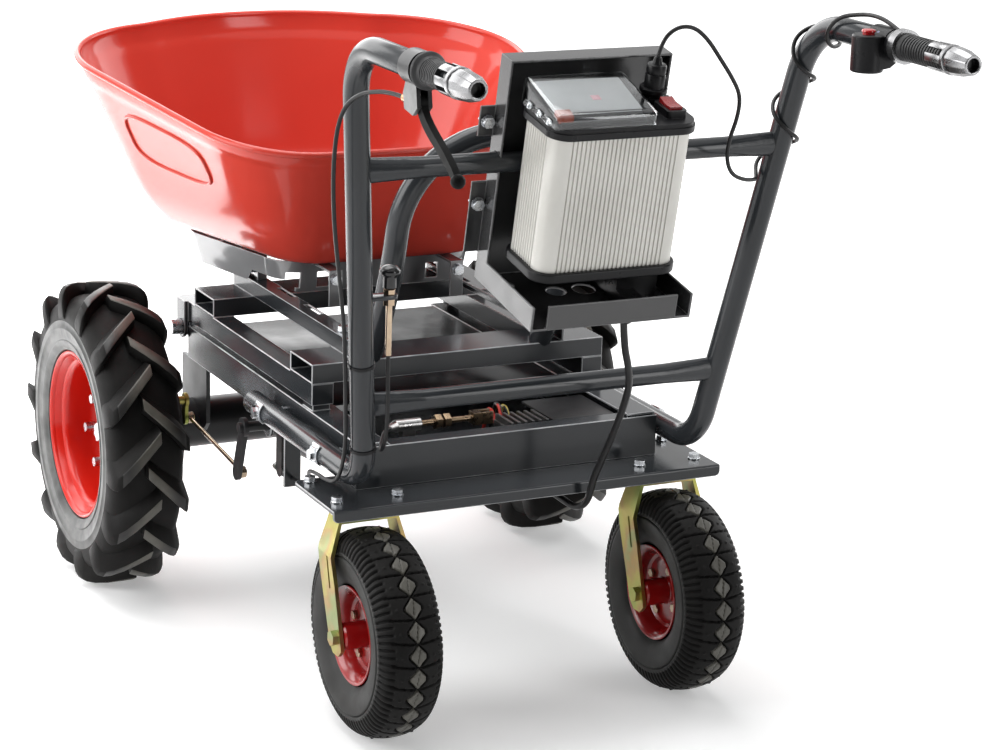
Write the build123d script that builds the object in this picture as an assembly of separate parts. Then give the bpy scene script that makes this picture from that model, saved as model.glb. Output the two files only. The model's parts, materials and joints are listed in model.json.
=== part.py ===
from build123d import *
import math
import os

# Electric tipping wheelbarrow: two driven wheels in front, two swivel castors behind, steel tub on a
# tipper frame, battery on the handle.
# Frame: +X to the operator's right, +Y forwards, +Z up, millimetres, origin on the floor under the middle.

# Overall sizes
overall_length = 1418
grip_height = 876
rake = 110.5 / 550
splay = 68.3 / 550

# Drive wheels, 4.00-8 field tyres
axle_y = 390
drive_radius = 211
drive_track = 333
drive_width = 112
drive_rim_radius = 117
drive_rim_half = 46
drive_disc = 12
lug_count = 14
lug_height = 17
lug_sweep = 62
lug_top = 18
stud_circle = 47
stud_count = 5
stud_turn = -7

# Castors, 10 x 3.50-4 tyres
castor_x = 209
castor_y = -195
castor_trail = 75
castor_radius = 130
castor_width = 85
castor_rim_radius = 62
fork_half = 52
fork_sheet = 5

# Chassis
rail_x = 208
rail_bottom = 304
rail_height = 46
rail_flange = 40
rail_front = 402
sheet = 3
wall_rear = -206
wall_top = 346
plate_half = 268
plate_rear = -273
plate_front = -141
plate_top = 292
plate_thick = 5
plate_lip = 15
axle_tube_radius = 35

# Tipper frame
hinge_y = 415
hinge_z = 346
tip_rail_bottom = 358
tip_rail_height = 28
tip_rail_width = 30
tip_rear = -56
tip_front = 438
cross_depth = 75
cross_height = 26
front_cross_y = 337
rear_cross_y = -18
angle_x = 150
angle_height = 22
angle_flange = 25
pan_rear = 217
pan_half = 152
hoop_half = 122
hoop_top = 713
hoop_lean = 0.231
hoop_foot_y = -70

# Tub
tub_floor = 478
tub_rear = 42
tub_front = 702
tub_rear_height = 659
tub_rise = 0.12
tub_rear_half = 271
tub_side_half = 324
tub_wall = 2.5
bead_radius = 6

# Handle
tube_radius = 15
tube_wall = 2
leg_x = 229
leg_z = 326
leg_front = 92
corner_y = -271.5
lower_bend = 55
upper_bend = 80
bar_radius = 11
bar_start = 535
cross_radius = 12.5
upper_cross_z = 724
lower_cross_z = 428

# Battery and its bracket, in the raked plane of the handle
bracket_half = 105
bracket_front = -19
case_half = 90
case_low = -95
case_high = 69
case_front = 20
case_rear = 110
cap_lip = 5
tray_low = -155
tray_rear = 135
tray_holes = ((-79, 16, 9), (-26, 42, 12), (11, 42, 14), (40, 96, 13))
meter_top = 104
meter_right = 32
rocker_x = 70
rocker_n = 78
rocker_half = 13
rocker_play = 1.2
plug_x = 68
plug_n = 38

# Throttle and brake controls
grip_radius = 15.5
flange_radius = 23
brake_y = -552
throttle_y = -580
switch_front = -520
switch_rear = -558
switch_rise = 10
switch_drop = 33
switch_barrel = 19
button_inset = 26.3
button_y = -540

# Tipper release: knob on the left upright, latch between the rails
knob_x = -222
knob_y = -320
knob_tab_z = 564
latch_y = -130
latch_z = 344
latch_in = -125

# Brake linkage
shaft_y = 98
shaft_z = 290
shaft_radius = 7
anchor_y = 58
cable_x = -187.5
foot_drop = 64
arm_y = 322
arm_z = 266
rod_front = (-233, 324, 239)
rod_rear = (-233, 122, 220)
rod_radius = 3

# Fasteners
bolt_radius = 4
bolt_head = 13
running = 0.05


def mirrored(shape):
    return mirror(shape, about=Plane.YZ)


def block(x0, x1, y0, y1, z0, z1):
    size = Box(abs(x1 - x0), abs(y1 - y0), abs(z1 - z0))
    return Pos((x0 + x1) / 2, (y0 + y1) / 2, (z0 + z1) / 2) * size


def rod(start, end, radius):
    axis = Vector(*end) - Vector(*start)
    base = Plane(origin=start, z_dir=axis.normalized())
    return extrude(base * Circle(radius), axis.length)


# Flat outline drawn on a plane and pushed along the plane's normal
def prism(plane, points, depth):
    face = make_face(plane * Polyline(*points, close=True))
    return extrude(face, depth, dir=plane.z_dir)


# Flat bar drawn on a plane from start to end
def strip(plane, start, end, width, depth):
    way = (Vector(*end) - Vector(*start)).normalized()
    side = Vector(-way.Y, way.X) * (width / 2)
    corners = [Vector(*start) - side, Vector(*start) + side, Vector(*end) + side, Vector(*end) - side]
    return prism(plane, [(corner.X, corner.Y) for corner in corners], depth)


def tube_along(points, radii, outer, inner=0):
    path = FilletPolyline(*points, radius=radii)
    start = Plane(origin=path @ 0, z_dir=path % 0)
    tube = sweep(start * Circle(outer), path=path)
    if inner:
        tube -= sweep(start * Circle(inner), path=path)
    return tube


# A cord is straight runs joined by arcs as large as the runs allow.
def cord(name, points, radius):
    radii = []
    for before, here, after in zip(points, points[1:], points[2:]):
        run_in = Vector(*here) - Vector(*before)
        run_out = Vector(*after) - Vector(*here)
        half_turn = math.radians(run_in.get_angle(run_out)) / 2
        radii.append(0.45 * min(run_in.length, run_out.length) / math.tan(half_turn))
    path = FilletPolyline(*points, radius=radii)
    print(name, "length", round(path.length))
    return tube_along(points, radii, radius)


def hexagon(across, height):
    return extrude(RegularPolygon(across / math.sqrt(3), 6), height)


# Bolt with head and washer outside the face at origin, its shank along the given direction.
def bolt(origin, along, grip, nut=True, radius=bolt_radius, head=bolt_head, washer_size=0.62):
    place = Plane(origin=origin, z_dir=along)
    washer_thick = 1.6
    washer = Pos(0, 0, -washer_thick / 2) * Cylinder(head * washer_size, washer_thick)
    cap = Pos(0, 0, -washer_thick - head * 0.42) * hexagon(head, head * 0.42)
    overhang = head * 0.6 if nut else 0
    shank = Pos(0, 0, (grip + overhang) / 2) * Cylinder(radius, grip + overhang)
    whole = washer + cap + shank
    if nut:
        whole += Pos(0, 0, grip) * hexagon(head, head * 0.5)
    return place * whole


def bore(origin, along, depth, radius=bolt_radius):
    end = Vector(*origin) + Vector(*along).normalized() * depth
    start = Vector(*origin) - Vector(*along).normalized() * 5
    return rod(tuple(start), tuple(end), radius)


# Point on the middle line of the raked, splayed handle upright at a height
def upright(side, z):
    x = leg_x + (z - leg_z) * splay
    return (side * x, corner_y - (z - leg_z) * rake, z)


# Plane of the battery bracket: local X across, Y up the rake, Z towards the operator
rake_angle = math.atan(rake)
upper_cross_y = upright(1, upper_cross_z)[1]
lower_cross_y = upright(1, lower_cross_z)[1]
bracket_plane = Plane(origin=(0, upper_cross_y, upper_cross_z), x_dir=(1, 0, 0),
                      z_dir=(0, -math.cos(rake_angle), -math.sin(rake_angle)))
rail_top = rail_bottom + rail_height
tip_rail_top = tip_rail_bottom + tip_rail_height
cross_top = tip_rail_top + cross_height
angle_top = cross_top + angle_height
leg_bolt_ys = (42, -150)
tub_bolt_x = angle_x - 12
tub_bolt_ys = (10, 313, 366)
slot_ys = (127, 224)
castor_bolt_offsets = [(sx * 40, sy * 43) for sx in (-1, 1) for sy in (-1, 1)]
grip_z = grip_height
rear_end = -overall_length / 2
switch_top = grip_z + switch_rise
switch_bottom = grip_z - switch_drop
button_x = upright(1, grip_z)[0] - button_inset


# Chassis rail: channel open to the middle, with a hinge ear in front, a rest pad for the tipper behind
# and a hanger for the brake shaft
def chassis_rail():
    lip = -rail_x + rail_flange
    profile = [(-rail_x, 0), (lip, 0), (lip, sheet), (-rail_x + sheet, sheet),
               (-rail_x + sheet, rail_height - sheet), (lip, rail_height - sheet), (lip, rail_height),
               (-rail_x, rail_height)]
    front_plane = Plane(origin=(0, rail_front, rail_bottom), x_dir=(1, 0, 0), z_dir=(0, -1, 0))
    rail = prism(front_plane, profile, rail_front - wall_rear - sheet)
    ear_radius = 11
    ear = rod((-rail_x, hinge_y, hinge_z), (-rail_x + 4.5, hinge_y, hinge_z), ear_radius)
    ear += block(-rail_x, -rail_x + 4.5, rail_front - 30, hinge_y, hinge_z - ear_radius, hinge_z)
    hanger = block(-rail_x, -rail_x + 5, shaft_y - 16, shaft_y + 16, shaft_z, rail_bottom)
    hanger += rod((-rail_x, shaft_y, shaft_z), (-rail_x + 5, shaft_y, shaft_z), 16)
    rest = block(-rail_x + 3, -rail_x + 27, tip_rear + 4, tip_rear + 36, rail_top, tip_rail_bottom)
    rail += ear + hanger + rest
    rail -= bore((-rail_x, hinge_y, hinge_z), (1, 0, 0), 10, 5)
    rail -= bore((-rail_x, shaft_y, shaft_z), (1, 0, 0), 10, shaft_radius + running)
    for y in leg_bolt_ys:
        rail -= bore((-rail_x, y, leg_z), (1, 0, 0), 10)
    return rail


# Folded sheet that closes the rails behind: top flange, floor under the rails, pads on the castor plate
def rear_wall():
    half = rail_x + 2
    floor_low = rail_bottom - sheet
    wall = block(-half, half, wall_rear, wall_rear + sheet, plate_top, wall_top)
    inner = rail_x - rail_flange - 3
    wall += block(-inner, inner, wall_rear, wall_rear + 26, wall_top - sheet, wall_top)
    wall += block(-rail_x, rail_x, wall_rear, 60, floor_low, rail_bottom)
    for side in (-1, 1):
        wall += block(side * (rail_x - rail_flange), side * rail_x, wall_rear, wall_rear + 40,
                      plate_top, floor_low)
    return fillet(wall.edges().filter_by(Axis.Z).group_by(Axis.Y)[0], 2)


# Front cross member, a rectangular tube between the rail webs
def front_member():
    length = 2 * (rail_x - sheet)
    tube = Box(length, 50, rail_height - 2 * sheet) - Box(length, 44, rail_height - 4 * sheet)
    return Pos(0, 345, rail_bottom + rail_height / 2) * tube


# Hanger plate from a rail down to the axle tube
def axle_plate(side):
    left = side * (rail_x - 2)
    right = side * (rail_x - 8)
    plate = block(left, right, axle_y - 58, axle_y + 40, drive_radius, rail_bottom)
    return chamfer(plate.edges().filter_by(Axis.X).group_by(Axis.Z)[0], 14)


# Axle tube with its hanger plates, gear case, motor behind it and the brake back plate on the left
def axle_housing():
    end = 258
    axis_start = (-end, axle_y, drive_radius)
    axis_end = (end, axle_y, drive_radius)
    housing = rod(axis_start, axis_end, axle_tube_radius)
    case_profile = Polyline((-62, 30), (-50, 62), (-30, 74), (30, 74), (50, 62), (62, 30), (62, 0), (-62, 0),
                            close=True)
    gear_case = revolve(make_face(case_profile), axis=Axis.X)
    housing += Pos(0, axle_y, drive_radius) * gear_case
    motor = rod((0, axle_y - 60, drive_radius + 14), (0, axle_y - 215, drive_radius + 14), 46)
    motor += rod((0, axle_y - 215, drive_radius + 14), (0, axle_y - 228, drive_radius + 14), 38)
    housing += motor
    housing += [axle_plate(-1), axle_plate(1)]
    for side, plate_radius in ((-1, 96), (1, 52)):
        plate_start = (side * (end - 6), axle_y, drive_radius)
        housing += rod(plate_start, (side * end, axle_y, drive_radius), plate_radius)
    housing -= rod((-end - 1, arm_y, arm_z), (-end + 10, arm_y, arm_z), 6 + running)
    housing -= rod((-end - 1, axle_y, drive_radius), (-end + 30, axle_y, drive_radius), 12.5 + running)
    housing -= rod((end + 1, axle_y, drive_radius), (end - 30, axle_y, drive_radius), 12.5 + running)
    return housing


# Plate that carries the castors, folded down along its rear edge
def castor_plate():
    low = plate_top - plate_thick
    profile = [(plate_front, plate_top), (plate_rear, plate_top), (plate_rear, plate_top - plate_lip),
               (plate_rear + 4, plate_top - plate_lip), (plate_rear + 4, low), (plate_front, low)]
    end_plane = Plane(origin=(-plate_half, 0, 0), x_dir=(0, 1, 0), z_dir=(1, 0, 0))
    plate = prism(end_plane, profile, 2 * plate_half)
    plate = fillet(plate.edges().filter_by(Axis.X).group_by(Axis.Y)[0].sort_by(Axis.Z)[-1], 3)
    plate = fillet(plate.edges().filter_by(Axis.Z).group_by(Axis.Y)[-1], 12)
    lip_ends = plate.edges().filter_by(Axis.Y).group_by(Axis.Z)[0].filter_by(lambda edge: edge.length < 6)
    plate = fillet(lip_ends, 7)
    for side in (-1, 1):
        for dx, dy in castor_bolt_offsets:
            plate -= bore((side * castor_x + dx, castor_y + dy, plate_top), (0, 0, -1), 10)
    return plate


# Middle line of a handle tube: leg along the rail, raked upright, straight back to the grip
def handle_path(side):
    top_x, top_y, top_z = upright(side, grip_z)
    points = [(side * leg_x, leg_front, leg_z), (side * leg_x, corner_y, leg_z), (top_x, top_y, top_z),
              (top_x, -bar_start, top_z)]
    return FilletPolyline(*points, radius=[lower_bend, upper_bend])


# Handle tube bolted along the rail, with a solid reduced bar behind for the controls
def handle_tube(side):
    path = handle_path(side)
    start = Plane(origin=path @ 0, z_dir=path % 0)
    tube = sweep(start * Circle(tube_radius), path=path)
    tube -= sweep(start * Circle(tube_radius - tube_wall), path=path)
    bar_x = upright(side, grip_z)[0]
    tube += rod((bar_x, -bar_start, grip_z), (bar_x, rear_end + 24, grip_z), bar_radius)
    tube += rod((bar_x, -bar_start + 12, grip_z), (bar_x, -bar_start, grip_z), tube_radius)
    for y in leg_bolt_ys:
        tube -= bore((side * (leg_x + tube_radius), y, leg_z), (-side, 0, 0), 2 * tube_radius + 5)
    return tube


# Crossbar between the uprights, its ends pressed taller where they are welded on
def crossbar(z):
    x, y, z = upright(1, z)
    inner = x - 78
    bar = rod((-inner, y, z), (inner, y, z), cross_radius)
    for side in (-1, 1):
        round_end = Plane(origin=(side * inner, y, z), z_dir=(side, 0, 0)) * Circle(cross_radius)
        pressed = Plane(origin=(side * (x + 2), y, z), x_dir=(0, 0, 1), z_dir=(side, 0, 0))
        bar += loft([round_end, pressed * Ellipse(15.5, 9)])
    for side in (-1, 1):
        low = upright(side, z - 60)
        high = upright(side, z + 60)
        bar -= rod(low, high, tube_radius)
    return bar


# Bolt groups of the welded frame: handle legs, castors, tipper hinge and bracket ears
def frame_bolts():
    group = []
    leg_outer = leg_x + tube_radius
    for side in (-1, 1):
        for y in leg_bolt_ys:
            reach = leg_outer - rail_x + sheet
            group.append(bolt((side * leg_outer, y, leg_z), (-side, 0, 0), reach, washer_size=0.8))
        hinge_outer = rail_x + 6
        hinge = bolt((side * hinge_outer, hinge_y, hinge_z), (-side, 0, 0), 10.5, True, 5, 17)
        sleeve_start = (side * (hinge_outer + 1), hinge_y, hinge_z)
        group.append(hinge + rod(sleeve_start, (side * (hinge_outer + 15), hinge_y, hinge_z), 11.5))
        for dx, dy in castor_bolt_offsets:
            at = (side * castor_x + dx, castor_y + dy, plate_top)
            group.append(bolt(at, (0, 0, -1), plate_thick + 4))
        for u in (45, -58):
            place = bracket_plane.location * Pos(side * (bracket_half + 9), u, bracket_front + sheet)
            group.append(place * bolt((0, 0, 0), (0, 0, -1), sheet))
    return group


# Folded bracket: back plate with flanges, bolt ears, crossbar holes and a tray below the battery
def battery_bracket():
    high = 127
    back = bracket_front + sheet
    flange = 25
    plate = block(-bracket_half, bracket_half, tray_low, high, bracket_front, back)
    plate += block(-bracket_half, bracket_half, high - sheet, high, bracket_front, back + flange)
    plate += block(-bracket_half, bracket_half, tray_low, tray_low + sheet, bracket_front, tray_rear)
    lip = 31
    for side in (-1, 1):
        edge = side * bracket_half
        inner = side * (bracket_half - sheet)
        plate += block(edge, inner, tray_low, high, bracket_front, back + flange)
        plate += block(edge, inner, tray_low, tray_low + lip, bracket_front, tray_rear)
        for low, top in ((26, 64), (-120, -30)):
            plate += block(edge, side * (bracket_half + 19), low, top, bracket_front, back)
    lip_half = bracket_half - 20
    plate += block(-lip_half, lip_half, tray_low, tray_low + lip, tray_rear - sheet, tray_rear)
    plate -= rod((-bracket_half - 1, 0, 0), (bracket_half + 1, 0, 0), cross_radius)
    for x, n, radius in tray_holes:
        plate -= rod((x, tray_low - 1, n), (x, tray_low + 5, n), radius)
    for side in (-1, 1):
        for u in (45, -58):
            plate -= rod((side * (bracket_half + 9), u, bracket_front - 1),
                         (side * (bracket_half + 9), u, back + 1), bolt_radius)
    return bracket_plane.location * plate


# Ribbed extruded battery case with rounded corners
def battery_case():
    depth = case_rear - case_front
    middle = (case_front + case_rear) / 2
    outline = RectangleRounded(2 * case_half, depth, 20)
    groove = 2.4
    pitch = 7
    for step in range(-10, 11):
        for edge in (-1, 1):
            outline -= Pos(step * pitch, edge * depth / 2) * Rectangle(groove, 2 * groove)
    for step in range(-3, 4):
        for edge in (-1, 1):
            outline -= Pos(edge * case_half, step * pitch) * Rectangle(2 * groove, groove)
    body = extrude(outline, case_high - case_low)
    stand = Plane(origin=(0, case_low, middle), x_dir=(1, 0, 0), z_dir=(0, 1, 0))
    return bracket_plane.location * (stand.location * body)


# Rounded cap over an end of the battery, between two heights
def cap_block(low, high, grow):
    depth = case_rear - case_front + 2 * grow
    outline = RectangleRounded(2 * (case_half + grow), depth, 20 + grow)
    stand = Plane(origin=(0, low, (case_front + case_rear) / 2), x_dir=(1, 0, 0), z_dir=(0, 1, 0))
    return stand.location * extrude(outline, high - low)


# Top cap with its sloping meter panel, the rocker boot and the socket of the plug
def battery_top_cap():
    cap = cap_block(case_high, case_high + 8, cap_lip) + cap_block(case_high + 8, case_high + 13, cap_lip - 2)
    deck = case_high + 13
    slope = [(deck, case_front + 6), (meter_top - 4, case_front + 6), (deck + 6, case_rear - 6),
             (deck, case_rear - 6)]
    side_plane = Plane(origin=(-case_half + 6, 0, 0), x_dir=(0, 1, 0), z_dir=(1, 0, 0))
    panel = prism(side_plane, slope, case_half - 12 + meter_right)
    boot = block(rocker_x - 13, rocker_x + 13, deck, deck + 9, rocker_n - 19, rocker_n + 19)
    boot = fillet(boot.edges().filter_by(Axis.Y), 5)
    socket = rod((plug_x, deck, plug_n), (plug_x, deck + 6, plug_n), 15)
    cap += panel + boot + socket
    well = rocker_half + rocker_play
    cap -= block(rocker_x - 8.5, rocker_x + 8.5, deck + 1, deck + 10, rocker_n - well, rocker_n + well)
    cap -= rod((rocker_x - 11, deck + 5.5, rocker_n), (rocker_x + 11, deck + 5.5, rocker_n), 1.5 + running)
    return bracket_plane.location * cap


def battery_bottom_cap():
    cap = cap_block(case_low - 12, case_low, cap_lip)
    return bracket_plane.location * cap


# Block in the tray that the battery plugs into and stands on
def battery_dock():
    top = case_low - 12
    dock = block(30, 84, tray_low + sheet, top, 24, 84)
    dock += block(30, 53, tray_low + sheet, tray_low + sheet + 16, 84, 108)
    dock += rod((40, tray_low + sheet, 96), (40, tray_low - 17, 96), 9)
    return bracket_plane.location * dock


# Rocker switch, slightly hollow on top, that tips about its middle
def rocker():
    deck = case_high + 13
    front = rocker_n - rocker_half
    rear = rocker_n + rocker_half
    profile = [(front, deck + 4), (front, deck + 15), (rocker_n, deck + 11.5), (rear, deck + 12),
               (rear, deck + 4), (rocker_n, deck + 2.5)]
    side_plane = Plane(origin=(rocker_x + 8, 0, 0), x_dir=(0, 0, 1), z_dir=(-1, 0, 0))
    key = prism(side_plane, profile, 16)
    key += rod((rocker_x - 10.5, deck + 5.5, rocker_n), (rocker_x + 10.5, deck + 5.5, rocker_n), 1.5)
    return bracket_plane.location * key


# Clear lid over the meter: a sloping hollow cover with hinge knuckles along its left edge
def battery_lid():
    deck = case_high + 13.3
    left = -case_half - 3
    right = meter_right + 6
    front = case_front - 1
    rear = case_rear + 1
    skin = 2.5
    outer = [(deck, front), (meter_top + 5, front), (deck + 15, rear), (deck, rear)]
    inner = [(deck - 1, front + skin), (meter_top + 5 - skin, front + skin), (deck + 15 - skin, rear - skin),
             (deck - 1, rear - skin)]
    outer_plane = Plane(origin=(left, 0, 0), x_dir=(0, 1, 0), z_dir=(1, 0, 0))
    inner_plane = Plane(origin=(left + skin, 0, 0), x_dir=(0, 1, 0), z_dir=(1, 0, 0))
    lid = prism(outer_plane, outer, right - left)
    lid -= prism(inner_plane, inner, right - left - 2 * skin)
    for n in (40, 65, 90):
        lid += rod((left - 1, deck + 4, n - 6), (left - 1, deck + 4, n + 6), 4)
    return bracket_plane.location * lid


# Angled plug on the battery's socket, with a collar and a tapered cord boot
def battery_plug():
    foot = case_high + 19
    plug = rod((plug_x, foot, plug_n), (plug_x, foot + 20, plug_n), 13)
    plug += rod((plug_x, foot + 5, plug_n), (plug_x, foot + 11, plug_n), 16.5)
    elbow = Plane(origin=(plug_x, foot + 20, plug_n), x_dir=(1, 0, 0), z_dir=(0, 1, 0))
    plug += extrude(elbow * Circle(13), 27, taper=18)
    return bracket_plane.location * plug


# Finned motor controller between the rails, with the dark cover plate beside it and its wires
def controller():
    body = block(14, 72, -174, -128, rail_bottom, rail_bottom + 34)
    for step in range(6):
        x = 16 + step * 10
        body += block(x, x + 4, -174, -128, rail_bottom + 34, rail_bottom + 42)
    return body


def cover_panel():
    top = rail_bottom + 40
    return block(76, 164, -174, -84, top - sheet, top) + block(76, 164, -174, -171, rail_bottom, top - sheet)


def wire_loom():
    wires = []
    for step, lift in enumerate((2, 8, 4)):
        x = 20 + 10 * step
        high = rail_bottom + 38 + lift
        points = [(x, -128, rail_bottom + 20), (x, -110, high), (x + 6, -88, high - 4),
                  (x + 10, -66, rail_bottom)]
        wires.append(tube_along(points, [9, 9], 2.5))
    return wires


# Brass guide tube of the release knob: nuts clamp it to its tab on the left upright
def knob_tube():
    lower_end = 495
    top = knob_tab_z + 12
    tube = rod((knob_x, knob_y, lower_end), (knob_x, knob_y, top), 3.8)
    tube += Pos(knob_x, knob_y, knob_tab_z - 8) * hexagon(13, 8)
    tube += Pos(knob_x, knob_y, knob_tab_z + 5) * hexagon(13, 6)
    return tube - rod((knob_x, knob_y, lower_end + 4), (knob_x, knob_y, top + 1), 2.5 + running)


# Tab welded to the left upright, with a rounded end round the guide tube
def knob_tab():
    root = upright(-1, knob_tab_z)
    tab = block(root[0], knob_x, knob_y - 10, knob_y + 10, knob_tab_z, knob_tab_z + 5)
    tab += rod((knob_x, knob_y, knob_tab_z), (knob_x, knob_y, knob_tab_z + 5), 10)
    tab -= rod((knob_x, knob_y, knob_tab_z - 1), (knob_x, knob_y, knob_tab_z + 6), 3.8)
    return tab - rod(upright(-1, knob_tab_z - 60), upright(-1, knob_tab_z + 60), tube_radius - 0.5)


# Release knob: domed cap on a pull rod
def release_knob():
    base = knob_tab_z + 12.3
    profile = Polyline((0, base), (8, base), (8, base + 15), (12.5, base + 18), (12.5, base + 22),
                       (9, base + 27),
                       (0, base + 28), close=True)
    cap = revolve(make_face(Plane.XZ * profile), axis=Axis.Z)
    cap = Pos(knob_x, knob_y, 0) * cap
    return cap + rod((knob_x, knob_y, 505), (knob_x, knob_y, base + 2), 2.5)


# Sleeve of the tipper latch on its foot between the rails, with the boot of the release cable
def latch_sleeve():
    sleeve = rod((latch_in, latch_y, latch_z), (latch_in + 34, latch_y, latch_z), 8)
    sleeve += block(latch_in + 8, latch_in + 26, latch_y - 6, latch_y + 6, rail_bottom, latch_z)
    boot = Plane(origin=(latch_in + 1, latch_y, latch_z), z_dir=(-20, -17, 3))
    sleeve += loft([boot * Circle(7.5), boot.offset(26) * Circle(3.5)])
    return sleeve - rod((latch_in + 6, latch_y, latch_z), (latch_in + 60, latch_y, latch_z), 4 + running)


# Latch bolt: threaded rod with lock nuts and the fork at its end
def latch_bolt():
    nuts = latch_in + 54
    pin = rod((latch_in + 24, latch_y, latch_z), (nuts + 54, latch_y, latch_z), 4)
    for x in (nuts, nuts + 12):
        pin += Plane(origin=(x, latch_y, latch_z), z_dir=(1, 0, 0)) * hexagon(17, 9)
    fork = block(nuts + 52, nuts + 80, latch_y - 8, latch_y + 8, latch_z - 8, latch_z + 8)
    return pin + fork - block(nuts + 64, nuts + 81, latch_y - 4, latch_y + 4, latch_z - 9, latch_z + 9)


# Brake lever bracket: clamp collar on the bar with a perch below and a cable adjuster
def brake_perch():
    x = upright(-1, grip_z)[0]
    collar = rod((x, brake_y + 14, grip_z), (x, brake_y - 14, grip_z), 19)
    arm = [(grip_z - 12, brake_y + 12), (grip_z - 30, brake_y + 20), (grip_z - 46, brake_y + 16),
           (grip_z - 50, brake_y - 6), (grip_z - 40, brake_y - 17), (grip_z - 12, brake_y - 12)]
    arm_plane = Plane(origin=(x + 9, 0, 0), x_dir=(0, 0, 1), z_dir=(-1, 0, 0))
    perch = collar + prism(arm_plane, arm, 18)
    perch -= block(x - 4.3, x + 4.3, brake_y - 30, brake_y + 4, grip_z - 70, grip_z - 20)
    perch += rod((x, brake_y + 13, grip_z - 38), (x, brake_y + 34, grip_z - 38), 5)
    pin = rod((x - 9, brake_y - 8, grip_z - 36), (x + 9, brake_y - 8, grip_z - 36), 3)
    perch += pin
    return perch - rod((x, brake_y + 20, grip_z), (x, brake_y - 20, grip_z), bar_radius)


# Brake lever: flat blade that sweeps down and back, narrower towards its ball end
def brake_lever():
    x = upright(-1, grip_z)[0]
    pivot = Vector(brake_y - 8, grip_z - 36)
    bends = [pivot, pivot + Vector(-12, -28), pivot + Vector(-56, -34), pivot + Vector(-94, -66)]
    steps = 14
    left = []
    right = []
    for step in range(steps + 1):
        share = step / steps
        rest = 1 - share
        spot = bends[0] * rest ** 3 + bends[1] * 3 * rest ** 2 * share
        spot += bends[2] * 3 * rest * share ** 2 + bends[3] * share ** 3
        way = (bends[1] - bends[0]) * rest ** 2 + (bends[2] - bends[1]) * 2 * rest * share
        way += (bends[3] - bends[2]) * share ** 2
        side = Vector(-way.Y, way.X).normalized() * (6.5 - 2 * share)
        left.append((spot.X + side.X, spot.Y + side.Y))
        right.append((spot.X - side.X, spot.Y - side.Y))
    blade_plane = Plane(origin=(x - 4, 0, 0), x_dir=(0, 1, 0), z_dir=(1, 0, 0))
    blade = prism(blade_plane, left + right[::-1], 8)
    blade += Pos(x, bends[3].X, bends[3].Y) * Sphere(8)
    blade += rod((x - 4, pivot.X, pivot.Y), (x + 4, pivot.X, pivot.Y), 8)
    return blade - rod((x - 5, pivot.X, pivot.Y), (x + 5, pivot.X, pivot.Y), 3 + running)


# Ribbed rubber sleeve over the bar
def grip_sleeve(x, start, end, ribs, bore_radius, flange=0):
    sleeve = rod((x, start, grip_z), (x, end, grip_z), grip_radius)
    if flange:
        sleeve += rod((x, start - 0.5, grip_z), (x, start - flange, grip_z), flange_radius)
    step = (end - start + flange) / (ribs + 1)
    for index in range(1, ribs + 1):
        y = start - flange + step * index
        sleeve -= rod((x, y + 1.2, grip_z), (x, y - 1.2, grip_z), grip_radius + 1)
        sleeve += rod((x, y + 1.2, grip_z), (x, y - 1.2, grip_z), grip_radius - 1.3)
    return sleeve - rod((x, start + 1, grip_z), (x, end - 1, grip_z), bore_radius)


# Bright bulb that closes the end of a grip
def grip_end(x, start, bore_radius):
    end = rear_end
    profile = Polyline((start, 0), (start, 15.5), (start - 16, 17.5), (end + 14, 17.5), (end + 3, 13),
                       (end, 9),
                       (end + 6, 7.5), (end + 6, 0), close=True)
    bulb_plane = Plane(origin=(x, 0, grip_z), x_dir=(0, 1, 0), z_dir=(1, 0, 0))
    bulb = revolve(make_face(bulb_plane * profile), axis=Axis((x, 0, grip_z), (0, 1, 0)))
    return bulb - rod((x, start + 1, grip_z), (x, end + 24 - running, grip_z), bore_radius)


# Switch box on the inner side of the right bar: a round barrel under the button, a body tapering to the bar
# and the collar of the throttle behind it
def switch_box():
    x = upright(1, grip_z)[0]
    box = rod((button_x, button_y, switch_bottom), (button_x, button_y, switch_top), switch_barrel)
    box = fillet(box.edges().filter_by(GeomType.CIRCLE), 2.5)
    outline = [(button_x, switch_top - 5), (x + 13, switch_top - 5), (x + 18, grip_z), (x + 12, grip_z - 14),
               (x - 6, switch_bottom + 6), (button_x, switch_bottom + 3)]
    box_plane = Plane(origin=(0, switch_front - 3, 0), x_dir=(1, 0, 0), z_dir=(0, -1, 0))
    box += prism(box_plane, outline, switch_front - 3 - switch_rear)
    box += rod((x, switch_front, grip_z), (x, switch_rear, grip_z), tube_radius + 3)
    neck_plane = Plane(origin=(x, switch_rear, grip_z), x_dir=(1, 0, 0), z_dir=(0, -1, 0))
    neck = loft([neck_plane.offset(-1) * Circle(17), neck_plane.offset(11) * Circle(18.5)])
    collar = rod((x, switch_rear - 10, grip_z), (x, throttle_y + 0.5, grip_z), 20)
    box += neck + collar
    bore_tube = rod((x, switch_front + 1, grip_z), (x, -bar_start, grip_z), tube_radius)
    bore_bar = rod((x, -bar_start, grip_z), (x, throttle_y - 1, grip_z), bar_radius)
    well = rod((button_x, button_y, switch_top - 5), (button_x, button_y, switch_top + 1), 7.3)
    return box - bore_tube - bore_bar - well


# Push button with a domed head
def stop_button():
    base = switch_top - 2.5
    profile = Polyline((0, base), (7, base), (7, base + 5), (8.5, base + 5.5), (7.5, base + 8), (0, base + 9),
                       close=True)
    button = revolve(make_face(Plane.XZ * profile), axis=Axis.Z)
    return Pos(button_x, button_y, 0) * button


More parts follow.
